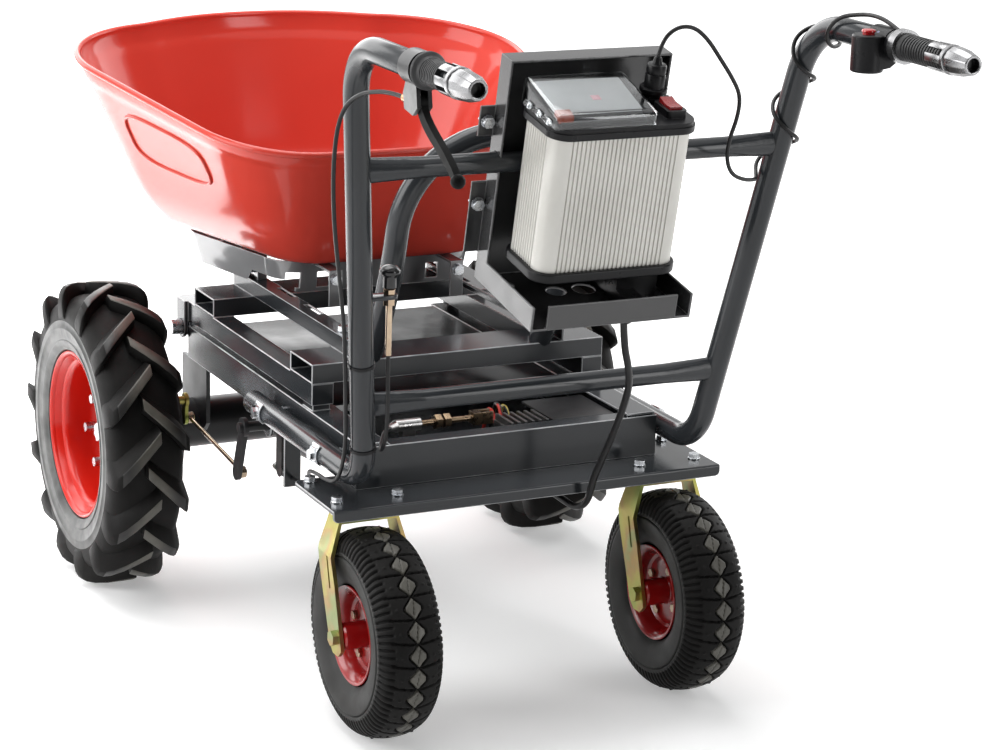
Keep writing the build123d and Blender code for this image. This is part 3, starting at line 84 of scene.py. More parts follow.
# Finishes: two colours in patches, roughness and its spread, metal, shine, coat, grain and its depth.
# What a finish leaves out is as in the plain one.
plainLook = {"patch": 40, "spread": 0.1, "metal": 0, "shine": 0.5, "coat": 0, "grain": 900, "depth": 0.01,
             "roughPatch": 2.3, "coatRough": 0.07, "bump": 0.5, "detail": 2}
looks = {
    "framePaint": {"colour": (0.022, 0.025, 0.028), "second": (0.029, 0.032, 0.036), "patch": 6,
                   "rough": 0.2, "spread": 0.06, "shine": 0.38, "grain": 700, "depth": 0.02},
    # Pale paint for the rounded edges of frame parts: a painted highlight
    "frameEdgeHighlight": {"colour": (0.5, 0.51, 0.52), "second": (0.24, 0.25, 0.26), "patch": 25, "rough": 0.26,
                  "spread": 0.08, "coat": 0.4, "grain": 700, "depth": 0.02},
    # Grey paint for the rounded edges of the battery bracket: a painted highlight
    "blackEdgeHighlight": {"colour": (0.16, 0.16, 0.165), "second": (0.09, 0.09, 0.092), "patch": 25,
                  "rough": 0.3, "grain": 700, "depth": 0.02},
    "blackPaint": {"colour": (0.012, 0.012, 0.013), "second": (0.018, 0.018, 0.019), "patch": 9,
                   "rough": 0.38, "shine": 0.4, "grain": 800, "depth": 0.03},
    "bracketPaint": {"colour": (0.03, 0.03, 0.031), "second": (0.038, 0.038, 0.039), "patch": 9,
                     "rough": 0.22, "coat": 0.3, "grain": 800, "depth": 0.02},
    "deckPaint": {"colour": (0.016, 0.018, 0.02), "second": (0.022, 0.024, 0.026), "patch": 9,
                  "rough": 0.22, "shine": 0.07, "grain": 800},
    "tubPaint": {"colour": (0.66, 0.064, 0.043), "second": (0.6, 0.053, 0.036), "patch": 3,
                 "rough": 0.13, "spread": 0.04, "shine": 0.3, "grain": 260, "depth": 0.004},
    "rimPaint": {"colour": (0.56, 0.016, 0.008), "second": (0.48, 0.011, 0.006), "patch": 8,
                 "rough": 0.22, "spread": 0.06, "shine": 0.3, "grain": 500, "depth": 0.015},
    # Darker copy of the rim red for the castor rims: painted shade
    "castorRedShaded": {"colour": (0.36, 0.01, 0.01), "second": (0.28, 0.007, 0.008), "patch": 8,
                    "rough": 0.22, "spread": 0.06, "coat": 0.2, "grain": 500, "depth": 0.015},
    "panPaint": {"colour": (0.22, 0.225, 0.23), "second": (0.18, 0.185, 0.19), "patch": 6,
                 "rough": 0.22, "spread": 0.08, "coat": 1, "grain": 600, "depth": 0.02},
    "zinc": {"colour": (0.58, 0.59, 0.6), "second": (0.44, 0.46, 0.49), "patch": 60, "rough": 0.26,
             "spread": 0.14, "metal": 1, "depth": 0.015},
    "steel": {"colour": (0.5, 0.5, 0.5), "second": (0.4, 0.39, 0.38), "rough": 0.32, "spread": 0.12,
              "metal": 1, "depth": 0.05},
    "chrome": {"colour": (0.3, 0.3, 0.305), "second": (0.24, 0.24, 0.245), "patch": 30, "rough": 0.27,
               "spread": 0.06, "metal": 1, "grain": 500},
    "alloy": {"colour": (0.22, 0.22, 0.22), "second": (0.17, 0.17, 0.17), "patch": 50, "rough": 0.36,
              "metal": 1, "grain": 1200, "depth": 0.08},
    "caseAlloy": {"colour": (0.62, 0.61, 0.575), "second": (0.56, 0.55, 0.515), "patch": 14,
                  "rough": 0.46, "spread": 0.08, "metal": 0.4, "grain": 1300, "depth": 0.03},
    "champagne": {"colour": (0.46, 0.36, 0.26), "second": (0.36, 0.27, 0.19), "rough": 0.22, "metal": 1,
                  "depth": 0.03},
    "bronze": {"colour": (0.26, 0.19, 0.12), "second": (0.17, 0.12, 0.08), "patch": 60, "rough": 0.3,
               "spread": 0.14, "metal": 1, "depth": 0.05},
    "copper": {"colour": (0.66, 0.32, 0.16), "second": (0.52, 0.24, 0.12), "rough": 0.26, "metal": 1,
               "depth": 0.03},
    "gripRubber": {"colour": (0.02, 0.02, 0.021), "second": (0.028, 0.028, 0.029), "patch": 60,
                   "rough": 0.5, "shine": 0.3, "grain": 1500, "depth": 0.08},
    "tyre": {"colour": (0.0065, 0.0062, 0.006), "second": (0.011, 0.0105, 0.01), "patch": 11,
             "rough": 0.58, "spread": 0.14, "shine": 0.12, "grain": 420, "depth": 0.1},
    "castorWall": {"colour": (0.013, 0.013, 0.012), "second": (0.02, 0.02, 0.019), "patch": 14,
                   "rough": 0.5, "spread": 0.12, "shine": 0.25, "grain": 420, "depth": 0.06},
    "leverBlack": {"colour": (0.006, 0.006, 0.006), "second": (0.009, 0.009, 0.009), "patch": 30,
                   "rough": 0.45, "spread": 0.08, "shine": 0.05, "depth": 0.02},
    "plastic": {"colour": (0.007, 0.007, 0.008), "second": (0.01, 0.01, 0.011), "patch": 20,
                "rough": 0.32, "shine": 0.2, "grain": 1100, "depth": 0.04},
    "cable": {"colour": (0.007, 0.007, 0.008), "second": (0.011, 0.011, 0.011), "rough": 0.4,
              "shine": 0.3, "depth": 0.03},
    "redPlastic": {"colour": (0.55, 0.01, 0.012), "second": (0.44, 0.006, 0.01), "patch": 60,
                   "rough": 0.22, "spread": 0.06, "coat": 0.4},
    "darkRed": {"colour": (0.34, 0.008, 0.01), "second": (0.26, 0.005, 0.008), "patch": 60,
                "rough": 0.26, "spread": 0.06, "coat": 0.2},
    # Pale rubber: on the castor crown diamonds a painted highlight; on the drive lug tops painted sheen
    # with wear and dust
    "diamond": {"colour": (0.072, 0.069, 0.058), "second": (0.115, 0.11, 0.094), "patch": 26,
                "rough": 0.42, "spread": 0.12, "shine": 0.4, "grain": 420, "depth": 0.08},
    # Paler, mottled rubber for the drive tyre's sidewall: painted sheen
    "sidewallSheen": {"colour": (0.014, 0.015, 0.014), "second": (0.085, 0.087, 0.084), "patch": 22,
                 "rough": 0.44, "spread": 0.12, "grain": 420, "depth": 0.06},
    "gloss": {"colour": (0.007, 0.007, 0.008), "second": (0.01, 0.01, 0.011), "patch": 30,
              "rough": 0.18, "spread": 0.06},
    "meter": {"colour": (0.4, 0.41, 0.41), "second": (0.34, 0.35, 0.35), "patch": 24, "rough": 0.42,
              "spread": 0.08},
    "display": {"colour": (0.62, 0.3, 0.34), "second": (0.54, 0.25, 0.29), "patch": 60, "rough": 0.3,
                "spread": 0.08},
    "amber": {"colour": (0.36, 0.05, 0.01), "second": (0.26, 0.035, 0.008), "patch": 60, "rough": 0.3,
              "spread": 0.08},
    "lens": {"colour": (0.16, 0.2, 0.42), "second": (0.1, 0.13, 0.3), "patch": 60, "rough": 0.16,
             "spread": 0.05},
    "yellowWire": {"colour": (0.55, 0.42, 0.05), "second": (0.45, 0.34, 0.04), "rough": 0.36,
                   "depth": 0.02},
    "redWire": {"colour": (0.5, 0.02, 0.01), "second": (0.4, 0.02, 0.01), "rough": 0.36, "depth": 0.02},
}


# Small tools
def choose(*pieces):
    if bpy.context.mode != "OBJECT":
        bpy.ops.object.mode_set(mode="OBJECT")
    bpy.ops.object.select_all(action="DESELECT")
    for piece in pieces:
        piece.select_set(True)
    bpy.context.view_layer.objects.active = pieces[0]


def place(name, data):
    piece = bpy.data.objects.new(name, data)
    bpy.context.scene.collection.objects.link(piece)
    return piece


def meshPiece(name, points, faces, edges=()):
    data = bpy.data.meshes.new(name)
    data.from_pydata([tuple(point) for point in points], list(edges), faces)
    data.update()
    return place(name, data)


# Merges points closer than a gap and turns the faces one way
def clean(piece, gap=weld):
    choose(piece)
    bpy.ops.object.mode_set(mode="EDIT")
    bpy.ops.mesh.select_all(action="SELECT")
    bpy.ops.mesh.remove_doubles(threshold=gap)
    bpy.ops.mesh.normals_make_consistent(inside=False)
    bpy.ops.object.mode_set(mode="OBJECT")


def modify(piece, kind, **settings):
    change = piece.modifiers.new(kind, kind)
    for key, value in settings.items():
        setattr(change, key, value)
    choose(piece)
    bpy.ops.object.modifier_apply(modifier=change.name)


def rounded(piece, width, segments=2, angle=crease, look=-1):
    modify(piece, "BEVEL", width=width * mm, segments=segments, limit_method="ANGLE",
           angle_limit=math.radians(angle), material=look, use_clamp_overlap=look < 0)


def smooth(piece, angle=crease):
    choose(piece)
    bpy.ops.object.shade_smooth_by_angle(angle=math.radians(angle))


def join(name, pieces):
    choose(*pieces)
    if len(pieces) > 1:
        bpy.ops.object.join()
    pieces[0].name = name
    pieces[0].data.name = name
    return pieces[0]


def paint(piece, look):
    piece.data.materials.clear()
    piece.data.materials.append(materials[look])


def standIn(piece, look, slot, *nodeNames):
    if look:
        paint(piece, look)
    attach(piece, bodyOf[nodeNames[0]])
    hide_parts(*nodeNames)


# Faces whose middle, in millimetres, passes a test take another look
def paintWhere(piece, look, test):
    piece.data.materials.append(materials[look])
    last = len(piece.data.materials) - 1
    for face in piece.data.polygons:
        if test(face.center / mm):
            face.material_index = last


# Smooth, edge-rounded copy of a CAD node, or of the part of it that lies within another piece; a second
# look, a lighter one, is painted on the rounded edges as a painted highlight
def shaped(node, look, bevel, segments=2, edge=None, within=None):
    piece = place(node + "_skin", nodes[node].data.copy())
    choose(piece)
    bpy.ops.object.mode_set(mode="EDIT")
    bpy.ops.mesh.select_all(action="SELECT")
    bpy.ops.mesh.remove_doubles(threshold=weld)
    bpy.ops.mesh.dissolve_limited(angle_limit=math.radians(flat))
    bpy.ops.object.mode_set(mode="OBJECT")
    if within:
        modify(piece, "BOOLEAN", object=within, operation="INTERSECT", solver="EXACT")
        bpy.data.objects.remove(within)
    paint(piece, look)
    # The second look paints a highlight on the faces that the bevel makes
    if edge:
        piece.data.materials.append(materials[edge])
    rounded(piece, bevel, segments, look=1 if edge else -1)
    smooth(piece)
    modify(piece, "WEIGHTED_NORMAL", keep_sharp=True)
    return piece


# Quads between a ring of points and the ring that follows it
def ringFaces(first, count):
    quads = []
    for index in range(count):
        after = (index + 1) % count
        quads.append((first + index, first + after, first + count + after, first + count + index))
    return quads


# Flat outline pushed along a vector, in millimetres
def slab(name, outline, way, bevel):
    count = len(outline)
    points = [Vector(spot) * mm for spot in outline]
    points += [(Vector(spot) + Vector(way)) * mm for spot in outline]
    faces = [list(range(count))[::-1], list(range(count, 2 * count))] + ringFaces(0, count)
    piece = meshPiece(name, points, faces)
    clean(piece)
    if bevel:
        rounded(piece, bevel)
    smooth(piece)
    return piece


# Profile of (along, radius) pairs turned about an axis through a centre, in millimetres
def turned(name, profile, centre, axis, steps, angle=crease):
    axis = Vector(axis).normalized()
    side = axis.orthogonal().normalized()
    points = [(axis * along + side * radius) * mm for along, radius in profile]
    edges = [(index, index + 1) for index in range(len(points) - 1)]
    piece = meshPiece(name, points, [], edges)
    choose(piece)
    bpy.ops.object.mode_set(mode="EDIT")
    bpy.ops.mesh.select_all(action="SELECT")
    bpy.ops.mesh.spin(steps=steps, angle=2 * math.pi, center=origin, axis=axis)
    bpy.ops.mesh.select_all(action="SELECT")
    bpy.ops.mesh.remove_doubles(threshold=weld / 10)
    bpy.ops.mesh.normals_make_consistent(inside=False)
    bpy.ops.transform.translate(value=Vector(centre) * mm)
    bpy.ops.object.mode_set(mode="OBJECT")
    smooth(piece, angle)
    return piece


def nodeMiddle(node):
    low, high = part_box(node)
    return (low + high) / 2


# Materials; the inputs of a node take numbers, colours or the outputs of other nodes
def feed(tree, node, inputs):
    for name, value in inputs.items():
        if isinstance(value, bpy.types.NodeSocket):
            tree.links.new(value, node.inputs[name])
        else:
            node.inputs[name].default_value = value


def newNode(tree, kind, inputs, **settings):
    node = tree.nodes.new(kind)
    for key, value in settings.items():
        setattr(node, key, value)
    feed(tree, node, inputs)
    return node


def newMaterial(name):
    material = bpy.data.materials.new(name)
    material.use_nodes = True
    tree = material.node_tree
    return material, tree, tree.nodes["Principled BSDF"]


def objectPlace(tree):
    return tree.nodes.new("ShaderNodeTexCoord").outputs["Object"]


# Value brought smoothly from one range to another
def eased(tree, value, source, target):
    inputs = {"Value": value, "From Min": source[0], "From Max": source[1], "To Min": target[0],
              "To Max": target[1]}
    node = newNode(tree, "ShaderNodeMapRange", inputs, interpolation_type="SMOOTHSTEP")
    return node.outputs["Result"]


def noiseValue(tree, where, scale, low, high, detail=3):
    noise = newNode(tree, "ShaderNodeTexNoise", {"Vector": where, "Scale": scale, "Detail": detail})
    return eased(tree, noise.outputs["Fac"], noiseSpan, (low, high))


def mixed(tree, first, second, factor):
    inputs = {"A": first, "B": second, "Factor": factor}
    return newNode(tree, "ShaderNodeMix", inputs, data_type="RGBA").outputs["Result"]


def makeLook(name, look):
    look = {**plainLook, **look}
    material, tree, surface = newMaterial(name)
    where = objectPlace(tree)
    patches = noiseValue(tree, where, look["patch"], 0, 1)
    half = look["spread"] / 2
    scale = look["patch"] * look["roughPatch"]
    sheen = noiseValue(tree, where, scale, look["rough"] - half, look["rough"] + half)
    grain = noiseValue(tree, where, look["grain"], 0, 1, look["detail"])
    inputs = {"Strength": look["bump"], "Distance": look["depth"] * mm, "Height": grain}
    bump = newNode(tree, "ShaderNodeBump", inputs)
    colour = mixed(tree, (*look["colour"], 1), (*look["second"], 1), patches)
    feed(tree, surface, {"Base Color": colour, "Roughness": sheen, "Metallic": look["metal"],
                         "Specular IOR Level": look["shine"], "Coat Weight": look["coat"],
                         "Coat Roughness": look["coatRough"], "Normal": bump.outputs["Normal"]})
    return material


# Yellow zinc: gold with drifting green and pink films, as colours along a ramp
goldZinc = {"patch": 16, "roughPatch": 40, "rough": (0.28, 0.44)}
goldStops = [(0.0, (0.27, 0.33, 0.09)), (0.35, (0.37, 0.34, 0.10)), (0.6, (0.38, 0.32, 0.10)),
             (0.8, (0.37, 0.25, 0.11)), (1.0, (0.26, 0.31, 0.14))]


def makeGoldZinc():
    material, tree, surface = newMaterial("goldZinc")
    where = objectPlace(tree)
    film = noiseValue(tree, where, goldZinc["patch"], 0, 1)
    ramp = newNode(tree, "ShaderNodeValToRGB", {"Fac": film})
    while len(ramp.color_ramp.elements) < len(goldStops):
        ramp.color_ramp.elements.new(0.5)
    for element, (spot, colour) in zip(ramp.color_ramp.elements, goldStops):
        element.position = spot
        element.color = (*colour, 1)
    sheen = noiseValue(tree, where, goldZinc["roughPatch"], *goldZinc["rough"])
    feed(tree, surface, {"Base Color": ramp.outputs["Color"], "Roughness": sheen, "Metallic": 1})
    return material


# Drive lugs: pale at the middle of the tread, from wear and dust and from painted sheen, black towards
# the shoulders, in metres from the middle
lugWearAndSheen = {"pale": 0.006, "black": 0.040}


def makeLugTop():
    material = makeLook("lugTop", looks["diamond"])
    tree = material.node_tree
    surface = tree.nodes["Principled BSDF"]
    # Pale colour of the lug tops: wear and dust, with painted sheen
    wornAndSheen = surface.inputs["Base Color"].links[0].from_socket
    parts = newNode(tree, "ShaderNodeSeparateXYZ", {"Vector": objectPlace(tree)})
    value = parts.outputs["X"]
    wheelX = nodeMiddle("drive_tyre_right").x
    for operation, number in (("ABSOLUTE", 0), ("SUBTRACT", wheelX), ("ABSOLUTE", 0)):
        value = newNode(tree, "ShaderNodeMath", {0: value, 1: number}, operation=operation).outputs[0]
    wearAndSheen = eased(tree, value, (lugWearAndSheen["pale"], lugWearAndSheen["black"]), (0, 1))
    feed(tree, surface, {"Base Color": mixed(tree, wornAndSheen, (*looks["tyre"]["second"], 1), wearAndSheen)})
    return material


# Clear plastic of the battery lid
clearPlastic = {"colour": (0.93, 0.95, 0.96), "bend": 1.45, "patch": 30, "rough": (0.02, 0.08)}


def makeClear():
    material, tree, surface = newMaterial("clearPlastic")
    sheen = noiseValue(tree, objectPlace(tree), clearPlastic["patch"], *clearPlastic["rough"])
    feed(tree, surface, {"Base Color": (*clearPlastic["colour"], 1), "Transmission Weight": 1,
                         "IOR": clearPlastic["bend"], "Roughness": sheen})
    return material


materials = {name: makeLook(name, look) for name, look in looks.items()}
materials["goldZinc"] = makeGoldZinc()
materials["lugTop"] = makeLugTop()
materials["clear"] = makeClear()
print("stage: materials")


# Camera, floor and light
def setCamera():
    right = Vector(camera["right"])
    up = Vector(camera["up"])
    back = right.cross(up)
    spot = Vector(camera["place"])
    data = bpy.data.cameras.new("camera")
    data.sensor_width = camera["sensor"]
    data.lens = camera["lens"]
    piece = place("camera", data)
    rows = [(right[axis], up[axis], back[axis], spot[axis]) for axis in range(3)]
    piece.matrix_world = Matrix(rows + [(0, 0, 0, 1)])
    bpy.context.scene.camera = piece


def areaLight(name, spot, target, size, power, spread=180):
    data = bpy.data.lights.new(name, "AREA")
    data.shape = "RECTANGLE"
    data.size = size[0]
    data.size_y = size[1]
    data.energy = power
    data.spread = math.radians(spread)
    piece = place(name, data)
    piece.location = spot
    piece.rotation_euler = (Vector(target) - Vector(spot)).to_track_quat("-Z", "Y").to_euler()


# 1 for the rays that show the background, 0 for the rays that light the object
def seenRays(tree):
    paths = tree.nodes.new("ShaderNodeLightPath")
    seen = paths.outputs["Is Camera Ray"]
    for ray in ("Is Glossy Ray", "Is Transmission Ray"):
        inputs = {0: seen, 1: paths.outputs[ray]}
        seen = newNode(tree, "ShaderNodeMath", inputs, operation="ADD", use_clamp=True).outputs[0]
    return seen


# White floor that keeps the shadow near the object and turns into the backdrop further off
def makeFloor():
    bpy.ops.object.select_all(action="DESELECT")
    bpy.ops.mesh.primitive_plane_add(size=studio["floorSize"], location=(0, 0, -studio["drop"]))
    floor = bpy.context.object
    floor.name = "floor"
    material, tree, surface = newMaterial("floor")
    distance = newNode(tree, "ShaderNodeVectorMath", {0: objectPlace(tree)}, operation="LENGTH")
    glow = eased(tree, distance.outputs["Value"], (studio["near"], studio["far"]), (studio["glow"], 1))
    strength = newNode(tree, "ShaderNodeMath", {0: glow, 1: seenRays(tree)}, operation="MULTIPLY")
    feed(tree, surface, {"Base Color": (*studio["floor"], 1), "Roughness": studio["floorRough"],
                         "Specular IOR Level": studio["floorShine"], "Emission Color": (1, 1, 1, 1),
                         "Emission Strength": strength.outputs[0]})
    floor.data.materials.append(material)


# Dark card of the studio, seen only in reflections
def darkCard(name, spot, turn, size):
    bpy.ops.object.select_all(action="DESELECT")
    standing = (math.pi / 2, 0, math.radians(turn))
    bpy.ops.mesh.primitive_plane_add(size=1, location=spot, rotation=standing)
    card = bpy.context.object
    card.name = name
    card.scale = (*size, 1)
    card.visible_camera = False
    dark, tree, surface = newMaterial(name)
    feed(tree, surface, {"Base Color": (*studio["card"], 1)})
    card.data.materials.append(dark)


def setStudio():
    makeFloor()
    for name, card in cards.items():
        darkCard(name, **card)
    world = bpy.data.worlds.new("studio")
    bpy.context.scene.world = world
    world.use_nodes = True
    tree = world.node_tree
    inputs = {"To Min": studio["sky"], "To Max": 1, "Value": seenRays(tree)}
    level = newNode(tree, "ShaderNodeMapRange", inputs)
    feed(tree, tree.nodes["Background"], {"Color": (1, 1, 1, 1), "Strength": level.outputs["Result"]})
    for name, lamp in lamps.items():
        areaLight(name, **lamp)
    bpy.context.scene.view_settings.view_transform = "Standard"


setCamera()
setStudio()
print("stage: camera and studio")


# Handle geometry, shared by the tubes and the cable that winds round the right one
handle = {"legX": 229, "legFront": 92, "legZ": 326, "cornerY": -271.5, "gripZ": 876,
          "rake": 110.5 / 550, "splay": 68.3 / 550, "bends": (55, 80), "barStart": -535, "barSink": 4,
          "barEnd": -685, "tube": 15, "bar": 11, "endRound": 1, "legBolts": (42, -150)}


def upright(side, z):
    rise = z - handle["legZ"]
    x = side * (handle["legX"] + rise * handle["splay"])
    return Vector((x, handle["cornerY"] - rise * handle["rake"], z))


# Straight runs joined by arcs, as points about a step apart
def bentLine(corners, bends, step=4):
    line = [Vector(corners[0])]
    for before, corner, after, bend in zip(corners, corners[1:], corners[2:], bends):
        corner = Vector(corner)
        wayIn = (corner - Vector(before)).normalized()
        wayOut = (Vector(after) - corner).normalized()
        turn = wayIn.angle(wayOut)
        reach = bend * math.tan(turn / 2)
        start = corner - wayIn * reach
        inward = (wayOut - wayIn * wayIn.dot(wayOut)).normalized()
        centre = start + inward * bend
        count = max(4, round(bend * turn / step))
        for index in range(count + 1):
            angle = turn * index / count
            line.append(centre + wayIn * (bend * math.sin(angle)) - inward * (bend * math.cos(angle)))
    line.append(Vector(corners[-1]))
    return line


# Point and direction at a distance along a line of points
def walk(line, distance):
    for start, end in zip(line, line[1:]):
        run = (end - start).length
        if distance <= run:
            break
        distance -= run
    way = (end - start).normalized()
    return start + way * distance, way


def handleLine(side):
    top = upright(side, handle["gripZ"])
    corners = [(side * handle["legX"], handle["legFront"], handle["legZ"]),
               (side * handle["legX"], handle["cornerY"], handle["legZ"]), top,
               (top.x, handle["barStart"], handle["gripZ"])]
    return bentLine(corners, handle["bends"])


# Cords, as control points in metres, and the steps of their curves
cordMesh = {"sides": 4, "steps": 8, "order": 3}
cords = {
    "throttle": {"node": "throttle_cable", "radius": 0.0025, "length": 0.941, "windings": 20,
                 "pitch": 0.0132, "reach": 0.023, "first": 190, "turn": 60, "startZ": 684},
    "power": {"node": "power_lead", "radius": 0.0045, "length": 0.763},
    "brake": {"node": "brake_cable", "radius": 0.0025, "length": 0.972},
    "release": {"node": "release_cable", "radius": 0.0025, "length": 0.315},
}
cords["throttle"]["points"] = [
    (0.068, -0.4148, 0.848), (0.070, -0.419, 0.868), (0.086, -0.423, 0.884), (0.108, -0.425, 0.884),
    (0.128, -0.425, 0.868), (0.146, -0.422, 0.846), (0.168, -0.417, 0.820), (0.184, -0.411, 0.797),
    (0.185, -0.405, 0.770), (0.179, -0.399, 0.744), (0.180, -0.393, 0.718), (0.192, -0.386, 0.698),
    (0.214, -0.378, 0.688), (0.238, -0.366, 0.684)]
cords["throttle"]["ending"] = [(0.2983, -0.486, 0.900), (0.2973, -0.514, 0.902), (0.2973, -0.540, 0.899),
                               (0.2973, -0.562, 0.892)]
cords["power"]["points"] = [
    (0.040, -0.4114, 0.5367), (0.046, -0.404, 0.504), (0.060, -0.392, 0.474), (0.074, -0.372, 0.444),
    (0.080, -0.350, 0.412), (0.080, -0.328, 0.372), (0.077, -0.308, 0.334), (0.072, -0.293, 0.300),
    (0.070, -0.287, 0.270), (0.066, -0.264, 0.254), (0.060, -0.230, 0.259), (0.050, -0.180, 0.268),
    (0.036, -0.110, 0.266), (0.018, -0.020, 0.250), (0.004, 0.070, 0.230), (0.000, 0.160, 0.225)]
cords["brake"]["points"] = [
    (-0.2974, -0.518, 0.838), (-0.300, -0.494, 0.8385), (-0.305, -0.464, 0.836), (-0.311, -0.430, 0.828),
    (-0.317, -0.402, 0.810), (-0.320, -0.388, 0.782), (-0.320, -0.380, 0.744), (-0.315, -0.368, 0.700),
    (-0.306, -0.354, 0.652), (-0.292, -0.337, 0.594), (-0.2765, -0.316, 0.530), (-0.269, -0.303, 0.478),
    (-0.262, -0.290, 0.424), (-0.2565, -0.279, 0.378), (-0.254, -0.262, 0.340), (-0.251, -0.236, 0.317),
    (-0.250, -0.206, 0.310), (-0.248, -0.170, 0.308), (-0.241, -0.130, 0.299), (-0.226, -0.092, 0.281),
    (-0.207, -0.052, 0.258), (-0.196, -0.012, 0.240), (-0.189, 0.026, 0.229), (-0.1875, 0.056, 0.226)]
cords["release"]["points"] = [
    (-0.222, -0.320, 0.495), (-0.222, -0.3205, 0.462), (-0.2215, -0.321, 0.428), (-0.220, -0.314, 0.396),
    (-0.215, -0.296, 0.374), (-0.204, -0.264, 0.360), (-0.188, -0.228, 0.356), (-0.168, -0.190, 0.355),
    (-0.150, -0.158, 0.350), (-0.130, -0.1343, 0.3448)]


# Control points of the turns round the right upright
def windings(cord):
    line = handleLine(1)
    foot = upright(1, cord["startZ"])
    gaps = [spanDistance(*span, foot) for span in zip(line, line[1:])]
    nearest = gaps.index(min(gaps))
    start = sum((line[index + 1] - line[index]).length for index in range(nearest))
    start += (foot - line[nearest]).length
    points = []
    for step in range(cord["windings"]):
        centre, way = walk(line, start + cord["pitch"] / mm * step)
        sideways = Vector((1, 0, 0))
        outward = way.cross(sideways).normalized()
        angle = math.radians(cord["first"] - cord["turn"] * step)
        swing = sideways * math.cos(angle) + outward * math.sin(angle)
        points.append(centre * mm + swing * cord["reach"])
    return points


def spanDistance(start, end, spot):
    way = end - start
    share = min(max((spot - start).dot(way) / way.length_squared, 0), 1)
    return (start + way * share - spot).length


def layCord(name, cord):
    points = list(cord["points"])
    if "windings" in cord:
        points += windings(cord) + cord["ending"]
    curve = bpy.data.curves.new(name, "CURVE")
    curve.dimensions = "3D"
    curve.bevel_depth = cord["radius"]
    curve.bevel_resolution = cordMesh["sides"]
    curve.resolution_u = cordMesh["steps"]
    curve.use_fill_caps = True
    spline = curve.splines.new("NURBS")
    spline.points.add(len(points) - 1)
    for spot, point in zip(spline.points, points):
        spot.co = (*point, 1)
    spline.order_u = cordMesh["order"]
    spline.use_endpoint_u = True
    piece = place(name + "Cord", curve)
    standIn(piece, "cable", "black_rubber", cord["node"])


for cordName, cordFacts in cords.items():
    layCord(cordName, cordFacts)
print("stage: cords")


# Round tube along a line, its ends closed
def sweptTube(name, line, radius, sides=10):
    curve = bpy.data.curves.new(name, "CURVE")
    curve.dimensions = "3D"
    curve.bevel_depth = radius * mm
    curve.bevel_resolution = sides
    curve.use_fill_caps = True
    spline = curve.splines.new("POLY")
    spline.points.add(len(line) - 1)
    for spot, point in zip(spline.points, line):
        spot.co = (*(point * mm), 1)
    piece = place(name, curve)
    choose(piece)
    bpy.ops.object.convert(target="MESH")
    clean(piece)
    return piece


def roundBar(name, start, end, radius, steps=40, bevel=0.5):
    start = Vector(start)
    end = Vector(end)
    length = (end - start).length
    profile = [(0, 0), (0, radius - bevel), (bevel, radius), (length - bevel, radius),
               (length, radius - bevel), (length, 0)]
    return turned(name, profile, start, end - start, steps)


# Tipper release on the left upright: its tab, and how far the knob stands over the tab's underside
knob = {"x": -222, "y": -320, "tabZ": 564, "tabThick": 5, "tabHalf": 10, "round": 0.8, "steps": 12,
        "lift": 12.3}


def knobTab():
    root = upright(-1, knob["tabZ"])
    half = knob["tabHalf"]
    outline = [(root.x, knob["y"] - half), (root.x, knob["y"] + half)]
    for index in range(knob["steps"] + 1):
        angle = math.pi * (0.5 - index / knob["steps"])
        outline.append((knob["x"] + half * math.cos(angle), knob["y"] + half * math.sin(angle)))
    outline = [(x, y, knob["tabZ"]) for x, y in outline]
    return slab("knobTab", outline, (0, 0, knob["tabThick"]), knob["round"])


# Straps round the left upright that hold the brake cable
tie = {"heights": (482, 372), "profile": [(-2, 15), (-2, 16.3), (2, 16.3), (2, 15)]}


def cableTie(z):
    axis = upright(-1, z + 1) - upright(-1, z)
    strap = turned("tie", tie["profile"], upright(-1, z), axis, steps=40)
    paint(strap, "plastic")
    return strap


def handleTubes():
    for side, name in ((-1, "left"), (1, "right")):
        tube = sweptTube("tube", handleLine(side), handle["tube"])
        rounded(tube, handle["endRound"], angle=50)
        smooth(tube)
        top = upright(side, handle["gripZ"])
        start = (top.x, handle["barStart"] + handle["barSink"], top.z)
        bar = roundBar("bar", start, (top.x, handle["barEnd"], top.z), handle["bar"])
        pieces = [tube, bar]
        if side < 0:
            pieces.append(knobTab())
        for piece in pieces:
            paint(piece, "framePaint")
        if side < 0:
            pieces += [cableTie(z) for z in tie["heights"]]
        whole = join("handle_" + name, pieces)
        standIn(whole, None, "frame_paint", "handle_tube_" + name)


# Tipping hoop: its legs bend forwards onto the rear cross tube
hoop = {"half": 122, "top": 713, "lean": 0.231, "footY": -70, "footZ": 388, "standZ": 408,
        "forward": 36, "tube": 15, "legSteps": 12, "archSteps": 40}


def tippingHoop():
    def lean(x, z):
        return Vector((x, hoop["footY"] - (z - hoop["footZ"]) * hoop["lean"], z))
    spring = hoop["top"] - hoop["half"]
    leg = []
    for index in range(hoop["legSteps"] + 1):
        share = index / hoop["legSteps"]
        spot = lean(-hoop["half"], spring + (hoop["standZ"] - spring) * share)
        leg.append(spot + Vector((0, hoop["forward"] * share ** 2, 0)))
    line = leg[:0:-1]
    for index in range(hoop["archSteps"] + 1):
        angle = math.pi * (1 - index / hoop["archSteps"])
        line.append(lean(hoop["half"] * math.cos(angle), spring + hoop["half"] * math.sin(angle)))
    line += [Vector((-spot.x, spot.y, spot.z)) for spot in leg[1:]]
    piece = sweptTube("hoop", line, hoop["tube"])
    smooth(piece)
    standIn(piece, "framePaint", "frame_paint", "tipping_hoop")


handleTubes()
tippingHoop()
print("stage: tubes")


